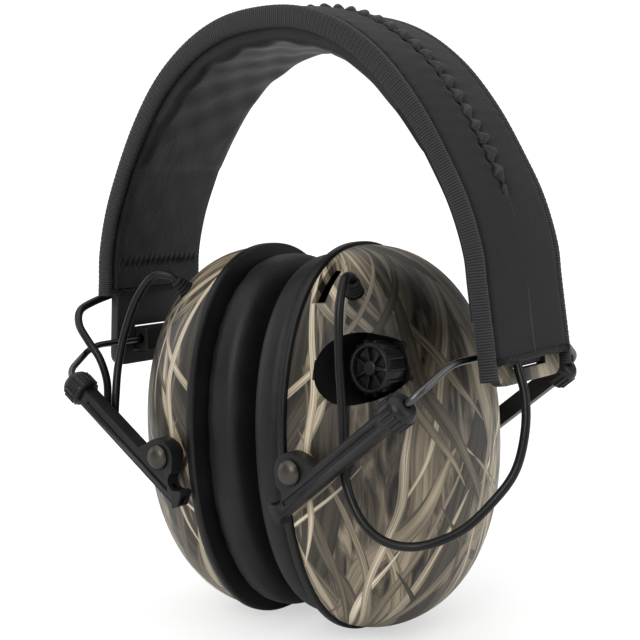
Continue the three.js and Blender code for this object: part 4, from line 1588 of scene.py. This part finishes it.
@dataclass
class Cup:
    """One ear cup: printed shell, rim, cushion, liner and what shows on its surface."""

    library: Library
    side: Side
    centre_z: float = -111.5 * MM
    half_height: float = 55.5 * MM
    half_width: float = 38 * MM
    depth: float = 35 * MM
    rim_x: float = 18.5 * MM
    room: Point = (33.8 * MM, 35.8 * MM, 53.3 * MM)
    bush_radius: float = 3.9 * MM
    grommet_hole: float = 2.75 * MM
    mic_hole: float = 2.45 * MM
    socket: tuple[Point, Point] = ((20.4, -27.5, -70.5), (24.6, -15.5, -58))
    door_corners: tuple[Point, Point] = ((-57.0, -12.0, -144.5), (-36.0, 12.0, -94.5))
    door_gap: float = 0.4
    rivet: tuple[float, float] = (24.2 * MM, -113.5 * MM)
    grommet: Point = (31 * MM, -22 * MM, -67.6 * MM)
    grommet_out: Point = (0.35, -0.6, 0.72)
    mic: Point = (45.5 * MM, 17 * MM, -87.5 * MM)
    mic_out: Point = (0.8, 0.35, 0.5)
    recess_radius: float = 8.9 * MM
    recess_floor: float = -6 * MM
    recess_wall: float = 1.8 * MM
    recess_way: Point = (-0.995, 0.1005, 0)
    recess_reach: float = 2 * MM
    recess_end_radius: float = 9.5 * MM

    def point(self, x: float, y: float, z: float) -> Vector:
        """A point of the near side, mirrored for the far side."""
        return Vector((self.side.sign * x, y, z))

    def out(self, direction: Point) -> Vector:
        """A unit direction of the near side, mirrored for the far side."""
        return self.point(*direction).normalized()

    def dome(self, rim_x: float, depth: float, half_width: float, half_height: float) -> bpy.types.Object:
        """A closed dome bulging away from the ear.

        Args:
            rim_x: Where its flat side is.
            depth: How far it bulges.
            half_width: Half its width at the flat side.
            half_height: Half its height there.

        Returns:
            The dome.
        """
        outline = oval(half_width, half_height, 120)
        rings = []
        count = 40
        for ring in range(count):
            angle = math.pi / 2 * (ring / count)
            size = math.cos(angle) ** 0.8
            x = rim_x + depth * math.sin(angle) ** 0.95
            rings.append([self.point(x, y * size, self.centre_z + z * size) for y, z in outline])
        rings.append([self.point(rim_x + depth, y * 0.004, self.centre_z + z * 0.004) for y, z in outline])
        return loft(f"printed_shell_{self.side.label}", rings)

    def wall(self, *kept: bpy.types.Object) -> bpy.types.Object:
        """The dome's wall, open at the rim.

        Args:
            kept: Bodies inside it that stay solid.

        Returns:
            The wall.
        """
        piece = self.dome(self.rim_x, self.depth, self.half_width, self.half_height)
        room = self.dome(self.rim_x - 1 * MM, *self.room)
        cut(room, kept)
        cut(piece, [room])
        return piece

    def shell(self) -> bpy.types.Object:
        """The dome with its holes, and the knob's recess or the battery bay.

        Returns:
            The shell.
        """
        x, z = self.rivet
        cutters = []
        for place in Place:
            foot = self.point(x, place.sign * 30 * MM, z)
            cutters.append(pin(foot, Vector((0, place.sign, 0)), self.bush_radius, 15 * MM))
        spot, way = self.point(*self.grommet), self.out(self.grommet_out)
        cutters.append(pin(spot - way * 6 * MM, way, self.grommet_hole, 16 * MM))
        spot, way = self.point(*self.mic), self.out(self.mic_out)
        cutters.append(pin(spot - way * 5 * MM, way, self.mic_hole, 16 * MM))
        if self.side is Side.NEAR:
            piece = self.wall(self.recess(self.recess_wall))
            cutters.append(self.recess(0.0))
            cutters.append(self.block(*self.socket))
        else:
            piece = self.wall()
            cutters.append(self.bay(self.door_gap))
        cut(piece, cutters)
        return settle(piece, piece.name, 32)

    def recess(self, grow: float) -> bpy.types.Object:
        """The rounded slot that the knob stands in, running from the knob towards the rim.

        Args:
            grow: How much wider and deeper than the recess it is.

        Returns:
            The slot's body.
        """
        way = self.out(KNOB_AXIS)
        foot = self.point(*KNOB_SEAT) + way * (self.recess_floor - grow)
        end = foot + self.out(self.recess_way) * self.recess_reach
        body = join([
            pin(foot, way, self.recess_radius + grow, 22 * MM, 72),
            pin(end, way, self.recess_end_radius + grow, 22 * MM, 72),
        ])
        bpy.ops.object.mode_set(mode="EDIT")
        bpy.ops.mesh.select_all(action="SELECT")
        bpy.ops.mesh.convex_hull()
        bpy.ops.object.mode_set(mode="OBJECT")
        return body

    def in_recess(self, spot: Vector) -> bool:
        """Whether a point lies on the recess's wall or floor.

        Args:
            spot: The point.

        Returns:
            True inside the recess.
        """
        way, side = self.out(KNOB_AXIS), self.out(self.recess_way)
        offset = spot - self.point(*KNOB_SEAT)
        if offset.dot(way) < self.recess_floor - 0.2 * MM or self.side is Side.FAR:
            return False
        share = min(1.0, max(0.0, offset.dot(side) / self.recess_reach))
        flat = offset - way * offset.dot(way) - side * (share * self.recess_reach)
        radius = self.recess_radius + (self.recess_end_radius - self.recess_radius) * share
        return flat.length < radius + 0.12 * MM

    def bay(self, gap: float) -> bpy.types.Object:
        """The block that the battery door is cut with.

        Args:
            gap: How far it stands out round the door, in millimetres.

        Returns:
            The block.
        """
        (x0, y0, z0), (x1, y1, z1) = self.door_corners
        return self.block((x0, y0 - gap, z0 - gap), (x1 + gap, y1 + gap, z1 + gap))

    def door(self) -> bpy.types.Object:
        """The battery door, a piece of the dome's wall with rounded edges.

        Returns:
            The door.
        """
        piece = self.wall()
        cut(piece, [self.bay(0.0)], "INTERSECT")
        piece.name = "door_panel"
        round_edges(piece, 0.35 * MM, 3, 50)
        return settle(piece, "door_panel", 32)

    def block(self, low: Point, high: Point) -> bpy.types.Object:
        """A box between two corners given in millimetres.

        Args:
            low: Its lowest corner.
            high: Its highest corner.

        Returns:
            The box.
        """
        middle = [(a + b) / 2 * MM for a, b in zip(low, high)]
        return slab([(b - a) * MM for a, b in zip(low, high)], middle)

    def rim(self) -> bpy.types.Object:
        """The base plate that shows as a thin rounded ring round the shell.

        Returns:
            The ring.
        """
        low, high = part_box(f"base_plate_{self.side.label}")
        near, far = sorted((abs(low.x), abs(high.x)))
        steps = ((near, -1.0), (near + 0.15 * MM, -0.45), (near + 0.6 * MM, -0.05), (near + 1.2 * MM, 0.0),
                 (far - 0.7 * MM, 0.0), (far - 0.25 * MM, -0.2), (far, -0.8))
        rings = []
        for x, inset in steps:
            outline = oval(self.half_width + (1 + inset) * MM, self.half_height + (1 + inset) * MM, 144)
            rings.append([self.point(x, y, self.centre_z + z) for y, z in outline])
        piece = loft(f"rim_plate_{self.side.label}", rings)
        hole = pin(self.point(near - 1 * MM, 0, self.centre_z), self.point(1, 0, 0), 11 * MM, 6 * MM, 64)
        cut(piece, [hole])
        return piece

    def cushion(self) -> bpy.types.Object:
        """The soft ring, plump in section, with a welted seam and small creases.

        Returns:
            The cushion.
        """
        low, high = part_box(f"cushion_{self.side.label}")
        face, back = sorted((abs(low.x), abs(high.x)))
        around, section = 200, 44
        outer = oval(self.half_width - 2.3 * MM, self.half_height - 2.3 * MM, around)
        inner = oval(16.8 * MM, 29.8 * MM, around)
        mood = ripple(31 if self.side is Side.NEAR else 37, around, 6)
        rings = []
        for k, turn in enumerate(turns(around)):
            ring = []
            for u in turns(section):
                c, s = math.cos(u), math.sin(u)
                w = 0.5 + 0.5 * math.copysign(abs(c) ** 0.62, c)
                x = (face + back) / 2 - (back - face) / 2 * math.copysign(abs(s) ** 0.7, s)
                crease = 0.16 * MM * math.sin(34 * turn + 3 * mood[k]) * max(0.0, -s) * (0.4 + 0.6 * abs(c))
                welt = -0.7 * MM * math.exp(-(((x - back + 2.6 * MM) / (0.55 * MM)) ** 2))
                spread = 1.0 + (crease + welt) / (26 * MM) * (1 if w > 0.5 else 0)
                y = inner[k][0] + (outer[k][0] - inner[k][0]) * w
                z = inner[k][1] + (outer[k][1] - inner[k][1]) * w
                ring.append(self.point(x, y * spread, self.centre_z + z * spread))
            rings.append(ring)
        return closed_loop(f"soft_ring_{self.side.label}", rings)

    def liner(self) -> bpy.types.Object:
        """The foam pad behind the cushion's opening, crowned towards the ear.

        Returns:
            The pad.
        """
        low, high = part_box(f"foam_liner_{self.side.label}")
        face, back = sorted((abs(low.x), abs(high.x)))
        rings = []
        for t in (0.02, 0.3, 0.6, 0.85, 0.96, 1.0):
            outline = oval(15.9 * MM * t, 28.9 * MM * t, 90)
            dimple = 0.15 * MM * np.sin(np.arange(90) * 1.7 + t * 9)
            x = face + 2.4 * MM * t**4
            rings.append([self.point(x + d, y, self.centre_z + z) for (y, z), d in zip(outline, dimple)])
        outline = oval(15.9 * MM, 28.9 * MM, 90)
        rings.append([self.point(back, y, self.centre_z + z) for y, z in outline])
        return loft(f"foam_pad_{self.side.label}", rings)

    def strain_relief(self) -> bpy.types.Object:
        """The grooved rubber sleeve round the cable.

        Returns:
            The sleeve.
        """
        way = self.out(self.grommet_out)
        foot = self.point(*self.grommet) - way * 3 * MM
        r = 2.4 * MM
        profile = [(r * 0.5, 0), (r, 0.1 * MM), (r, 2.8 * MM), (r * 1.05, 3.0 * MM), (r * 1.05, 3.7 * MM)]
        for k in range(3):
            base = (4.0 + 1.1 * k) * MM
            wide, thin = r * (0.98 - 0.07 * k), r * (0.78 - 0.07 * k)
            profile += [(thin, base), (wide, base + 0.25 * MM), (wide, base + 0.8 * MM)]
        profile += [(r * 0.62, 7.4 * MM), (1.3 * MM, 7.5 * MM), (1.22 * MM, 7.2 * MM)]
        piece = turned(f"strain_relief_{self.side.label}", profile, foot, way, 40)
        return settle(piece, piece.name, 45)

    def mic_screen(self) -> bpy.types.Object:
        """The microphone's round foam behind a raised ring.

        Returns:
            The screen.
        """
        way = self.out(self.mic_out)
        foot = self.point(*self.mic) - way * 5 * MM
        r = 2.1 * MM
        profile = [(0.6 * MM, 0), (r, 0.1 * MM), (r, 4.6 * MM), (r * 1.1, 5.2 * MM), (r * 1.1, 5.7 * MM),
                   (r * 0.9, 5.9 * MM), (r * 0.8, 5.3 * MM), (r * 0.4, 5.6 * MM), (r * 0.05, 5.7 * MM)]
        piece = turned(f"mic_screen_{self.side.label}", profile, foot, way, 40)
        return settle(piece, piece.name, 45)

    def build(self) -> None:
        """Builds one cup and dresses it."""
        label = self.side.label
        body = f"cup_{label}"
        print_on_shell = Printed(f"printed_shell_{label}", roughness=0.42).make(self.library)
        dark = Moulded(f"rim_moulding_{label}", grey(0.012), 0.42).make(self.library)
        vinyl = Leatherette(f"cushion_vinyl_{label}", crease=0.5).make(self.library)
        foam = Moulded(f"open_foam_{label}", grey(0.02), 0.95, grain=1100.0, depth=0.0005).make(self.library)
        rubber = Moulded(f"relief_rubber_{label}", grey(0.014), 0.6).make(self.library)
        shell = self.shell()
        shell.data.materials.append(print_on_shell)
        shell.data.materials.append(dark)
        # Painted shade: the recess's wall and floor take the dark rim moulding in place of the print, for the
        # shadow inside the recess.
        for face in shell.data.polygons:
            face.material_index = int(self.in_recess(face.center))
        finish_piece(shell, print_on_shell, body, [f"cup_shell_{label}"])
        rim = settle(self.rim(), f"rim_plate_{label}", 35)
        finish_piece(rim, dark, body, [f"base_plate_{label}"])
        ring = settle(self.cushion(), f"soft_ring_{label}", 60)
        finish_piece(ring, vinyl, body, [f"cushion_{label}"])
        pad = settle(self.liner(), f"foam_pad_{label}", 50)
        finish_piece(pad, foam, body, [f"foam_liner_{label}"])
        finish_piece(self.strain_relief(), rubber, body, [f"grommet_{label}"])
        finish_piece(self.mic_screen(), foam, body, [f"microphone_{label}"])
        if self.side is Side.FAR:
            finish_piece(self.door(), print_on_shell, "battery_cover", ["battery_door"])


# ---- The knob and what the cups hold ----


@dataclass
class Knob:
    """The volume knob: a ribbed drum with a hub and spokes in its hollow face."""

    library: Library
    radius: float = 7.6 * MM
    bottom: float = -5.6 * MM
    height: float = 7.2 * MM
    ribs: int = 14
    spokes: int = 7

    def place(self) -> Matrix:
        """The transform that stands a piece modelled on +Z in the recess."""
        way = Vector(KNOB_AXIS).normalized()
        return Matrix.Translation(Vector(KNOB_SEAT) + way * self.bottom) @ turn_to(way)

    def drum(self) -> bpy.types.Object:
        """The drum, its ribs and its spokes as one piece.

        Returns:
            The knob.
        """
        r, h = self.radius - 0.5 * MM, self.height
        profile = [
            (r - 0.5 * MM, 0), (r, 0.3 * MM), (r, h - 0.9 * MM), (r - 0.35 * MM, h - 0.25 * MM),
            (r - 0.9 * MM, h), (r - 1.5 * MM, h - 0.2 * MM), (r - 1.7 * MM, h - 1.8 * MM),
            (2.3 * MM, h - 1.8 * MM), (2.1 * MM, h - 0.5 * MM), (1.8 * MM, h - 0.25 * MM),
            (0.1 * MM, h - 0.25 * MM),
        ]
        up = Vector((0, 0, 1))
        parts = [turned("knob_drum", profile, Vector((0, 0, 0)), up, 84)]
        for turn in turns(self.ribs):
            foot = Vector((math.cos(turn) * (r - 0.1 * MM), math.sin(turn) * (r - 0.1 * MM), 0.4 * MM))
            parts.append(pin(foot, up, 0.62 * MM, h - 1.2 * MM, 16))
        for turn in turns(self.spokes):
            spoke = slab((4.2 * MM, 0.9 * MM, 1.2 * MM))
            spot = Matrix.Translation((3.9 * MM, 0, h - 1.3 * MM))
            spoke.data.transform(Matrix.Rotation(turn, 4, "Z") @ spot)
            parts.append(spoke)
        piece = join(parts)
        round_edges(piece, 0.12 * MM, 2, 50)
        piece.data.transform(self.place())
        return settle(piece, "knob_drum", 35)

    def mark(self) -> bpy.types.Object:
        """The short line that shows how far the knob is turned.

        Returns:
            The line.
        """
        line = slab((0.9 * MM, 0.5 * MM, 0.2 * MM))
        spot = Matrix.Translation((self.radius - 1.6 * MM, 0, self.height - 0.05 * MM))
        line.data.transform(self.place() @ spot)
        return settle(line, "knob_mark")

    def build(self) -> None:
        """Builds the knob and dresses it."""
        dark = Moulded("knob_moulding", grey(0.012), 0.36).make(self.library)
        pale = Moulded("mark_paint", grey(0.06), 0.5).make(self.library)
        finish_piece(self.drum(), dark, "volume_control", ["volume_knob"])
        finish_piece(self.mark(), pale, "volume_control")


@dataclass
class Cables:
    """One side's free cable, from the grommet on the cup to the sleeve's open end."""

    library: Library
    side: Side
    radius: float = 1.2 * MM
    splits: tuple[float, ...] = (0, 0.36, 0.7, 1)
    near_route: tuple[Point, ...] = (
        (31.7, -23.2, -66.2), (32.9, -25.3, -63.6), (34.4, -30, -63.4), (35.5, -34.4, -70), (36, -36.2, -83),
        (36.6, -36.6, -98), (36.8, -36.8, -108), (37.4, -37.2, -116), (43, -38.5, -125.5), (50, -38.5, -130),
        (58, -36, -131), (66, -28, -128), (71, -20, -121.5), (75, -15, -114), (76.5, -12, -104),
        (75.6, -10, -95), (73, -9, -87.1),
    )
    far_route: tuple[Point, ...] = (
        (31.7, -23.2, -66.2), (32.9, -25.3, -63.6), (37.5, -28, -62.8), (43.5, -29, -68), (48, -31, -78),
        (49.5, -34, -90), (48.8, -36.4, -99), (50.2, -36.3, -106), (54, -34.2, -107.4), (57, -32.2, -103),
        (57.4, -31.6, -95), (59.6, -32, -88), (63.6, -32.4, -83), (69, -31, -78), (73, -26.5, -74),
        (73.2, -21, -71.9), (71.2, -15, -70),
    )

    def build(self) -> None:
        """Builds the cable in three stretches: one for the cup, one for the yoke and one for the band."""
        label = self.side.label
        route = self.near_route if self.side is Side.NEAR else self.far_route
        points = [Vector((self.side.sign * x, y, z)) * MM for x, y, z in route]
        line = Line(smooth_line(points, 20))
        LOG.info("cable_%s runs %.1f mm", label, line.length / MM)
        jacket = Moulded(f"cable_jacket_{label}", grey(0.006), 0.36, grain=2200.0).make(self.library)
        parts = ("cup", "yoke", "band")
        for k, part in enumerate(parts):
            low, high = line.length * self.splits[k], line.length * self.splits[k + 1]
            path = line.part(low, high, max(24, int((high - low) / (0.9 * MM))))
            piece = settle(tube(f"cord_{label}_{part}", path, self.radius, 20), f"cord_{label}_{part}", 60)
            piece.data.materials.append(jacket)
            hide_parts(f"cable_{label}_{part}")
            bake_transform(piece)


@dataclass
class Fittings:
    """The spring, the sleeve's end plates and clips, and what the cups hold inside."""

    library: Library
    nodes: dict[str, bpy.types.Object]

    def plate(self, side: Side) -> None:
        """Dresses an end plate: printed outside, dark inside.

        Args:
            side: Which end of the strap.
        """
        label = side.label
        piece = refined(self.nodes[f"end_plate_{label}"], f"hem_plate_{label}", 0.5 * MM, 4)
        dark = Moulded(f"plate_moulding_{label}", grey(0.03), 0.5).make(self.library)
        printed = Printed(f"plate_print_{label}", roughness=0.5).make(self.library)
        piece.data.materials.append(dark)
        piece.data.materials.append(printed)
        for face in piece.data.polygons:
            face.material_index = int(face.normal.x * side.sign > 0.6)
        finish_piece(piece, dark, "band", [f"end_plate_{label}"])

    def build(self) -> None:
        """Rounds and dresses every piece that keeps its CAD shape."""
        rubber = Moulded("clip_rubber", grey(0.014), 0.55).make(self.library)
        steel = Metal("spring_strip", (0.35, 0.35, 0.36), 0.3).make(self.library)
        spring = refined(self.nodes["spring_band"], "spring_strip", 0.2 * MM, 2)
        finish_piece(spring, steel, "band", ["spring_band"])
        cone = Moulded("speaker_frame", grey(0.04), 0.5).make(self.library)
        for side in Side:
            self.plate(side)
            label = side.label
            clip = refined(self.nodes[f"bail_clip_{label}"], f"clip_{label}", 0.4 * MM)
            finish_piece(clip, rubber, "band", [f"bail_clip_{label}"])
            speaker = refined(self.nodes[f"speaker_{label}"], f"speaker_unit_{label}", 0.3 * MM)
            finish_piece(speaker, cone, f"cup_{label}", [f"speaker_{label}"])
        mask = Moulded("solder_mask", (0.015, 0.075, 0.035), 0.35).make(self.library)
        tray = Moulded("tray_moulding", grey(0.04), 0.5).make(self.library)
        wrap = Moulded("cell_wrap", (0.11, 0.09, 0.035), 0.3).make(self.library)
        for node, name, finish, body, slot in (
            ("circuit_board", "board", mask, "cup_near", "board"),
            ("volume_pot", "pot_body", steel, "cup_near", "speaker"),
            ("battery_tray", "tray", tray, "cup_far", "plastic"),
            ("battery_front", "cell_front", wrap, "cup_far", "cell"),
            ("battery_rear", "cell_rear", wrap, "cup_far", "cell"),
        ):
            piece = refined(self.nodes[node], name, 0.3 * MM)
            finish_piece(piece, finish, body, [node])


# ---- Floor, lights and camera ----


@dataclass
class Studio:
    """A pale floor, soft lamps and the camera."""

    library: Library
    target: Point = (0, 0, -95 * MM)
    azimuth: float = math.radians(38.56)
    elevation: float = math.radians(7.47)
    roll: float = math.radians(2.4)
    distance: float = 0.3988
    lens: float = 75.4
    shift: tuple[float, float] = (0.0028, 0.089)
    floor_side: float = 3.0
    floor_fade: tuple[float, float] = (0.10, 0.45)
    backdrop: float = 0.97
    dim: float = 0.30
    lamps: tuple[tuple[str, Point, float, float], ...] = (
        ("overhead", (0.0, 0.0, 2.0), 4.0, 52.0),
        ("key", (0.30, -0.80, 0.35), 0.5, 3.6),
        ("fill", (-0.95, -0.35, 0.20), 0.6, 1.8),
        ("edge", (0.85, 0.30, 0.20), 0.5, 1.6),
    )

    def floor(self) -> None:
        """A wide pale floor under the cups, which fades into the backdrop for the camera."""
        low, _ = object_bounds()
        deselect()
        bpy.ops.mesh.primitive_plane_add(size=self.floor_side, location=(0, 0, low.z - 0.5 * MM))
        floor = bpy.context.object
        floor.name = "studio_floor"
        material, paint, shader, where = self.library.blank("floor_paper")
        noise = paint.node("ShaderNodeTexNoise", in_Scale=8.0, in_Vector=where)
        tone = paint.ramp(noise.outputs["Fac"], ((0.3, grey(0.90)), (0.7, grey(0.93))))
        paint.link(tone, shader.inputs["Base Color"])
        shader.inputs["Roughness"].default_value = 0.9
        away = paint.node("ShaderNodeVectorMath", operation="LENGTH", in_0=where)
        fade = paint.span(away.outputs["Value"], self.floor_fade, (0.5, 1.0), "SMOOTHSTEP")
        seen = paint.node("ShaderNodeLightPath").outputs["Is Camera Ray"]
        air = paint.node("ShaderNodeEmission", in_Color=(1, 1, 1, 1), in_Strength=self.backdrop)
        blend = paint.node("ShaderNodeMixShader", in_0=paint.math("MULTIPLY", fade, seen))
        paint.link(shader.outputs[0], blend.inputs[1])
        paint.link(air.outputs[0], blend.inputs[2])
        paint.link(blend.outputs[0], material.node_tree.nodes["Material Output"].inputs["Surface"])
        floor.data.materials.append(material)
        floor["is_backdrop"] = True

    def lamp(self, name: str, spot: Point, size: float, power: float) -> None:
        """A square soft lamp that faces the muff.

        Args:
            name: Its name.
            spot: Where it hangs.
            size: Its side.
            power: Its power in watts.
        """
        deselect()
        bpy.ops.object.light_add(type="AREA", location=spot)
        lamp = bpy.context.object
        lamp.name = name
        lamp.data.size = size
        lamp.data.energy = power
        aim = Vector(self.target) - Vector(spot)
        lamp.rotation_euler = aim.to_track_quat("-Z", "Y").to_euler()
        lamp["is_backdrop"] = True

    def camera(self) -> None:
        """The camera, turned a little about its own axis."""
        a, e, r = self.azimuth, self.elevation, self.roll
        back = Vector((math.sin(a) * math.cos(e), -math.cos(a) * math.cos(e), math.sin(e)))
        right = Vector((math.cos(a), math.sin(a), 0))
        up = back.cross(right)
        turned_right = right * math.cos(r) - up * math.sin(r)
        turned_up = up * math.cos(r) + right * math.sin(r)
        deselect()
        bpy.ops.object.camera_add()
        camera = bpy.context.object
        spot = Vector(self.target) + back * self.distance
        turn = Matrix((turned_right, turned_up, back)).transposed().to_4x4()
        camera.matrix_world = Matrix.Translation(spot) @ turn
        camera.data.sensor_width = 36
        camera.data.lens = self.lens
        camera.data.shift_x, camera.data.shift_y = self.shift
        camera.data.clip_start = 0.01
        bpy.context.scene.camera = camera
        camera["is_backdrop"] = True

    def build(self) -> None:
        """Sets the whole studio up."""
        self.floor()
        for lamp in self.lamps:
            self.lamp(*lamp)
        world = bpy.data.worlds.new("studio_air")
        world.use_nodes = True
        paint = Paint(world.node_tree)
        air = world.node_tree.nodes["Background"]
        seen = paint.node("ShaderNodeLightPath").outputs["Is Camera Ray"]
        air.inputs["Color"].default_value = (1, 1, 1, 1)
        brighter = paint.math("MULTIPLY", seen, self.backdrop - self.dim)
        paint.link(paint.math("ADD", brighter, self.dim), air.inputs["Strength"])
        bpy.context.scene.world = world
        bpy.context.scene.view_settings.view_transform = "Standard"
        bpy.context.scene.view_settings.look = "Medium High Contrast"
        self.camera()


def corners(low: Vector, high: Vector) -> list[list[float]]:
    """A box's two corners as plain lists."""
    return [[float(v) for v in low], [float(v) for v in high]]


def main() -> None:
    """Builds the whole muff round its CAD frame."""
    logging.basicConfig(level=logging.INFO, format="%(name)s %(message)s")
    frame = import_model()
    nodes = frame["nodes"]
    library = Library()
    Strap(library).build()
    Fittings(library, nodes).build()
    for side in Side:
        Yoke(library, nodes, side).build()
        Cup(library, side).build()
        Cables(library, side).build()
    Knob(library).build()
    Studio(library).build()


if __name__ == "__main__":
    main()
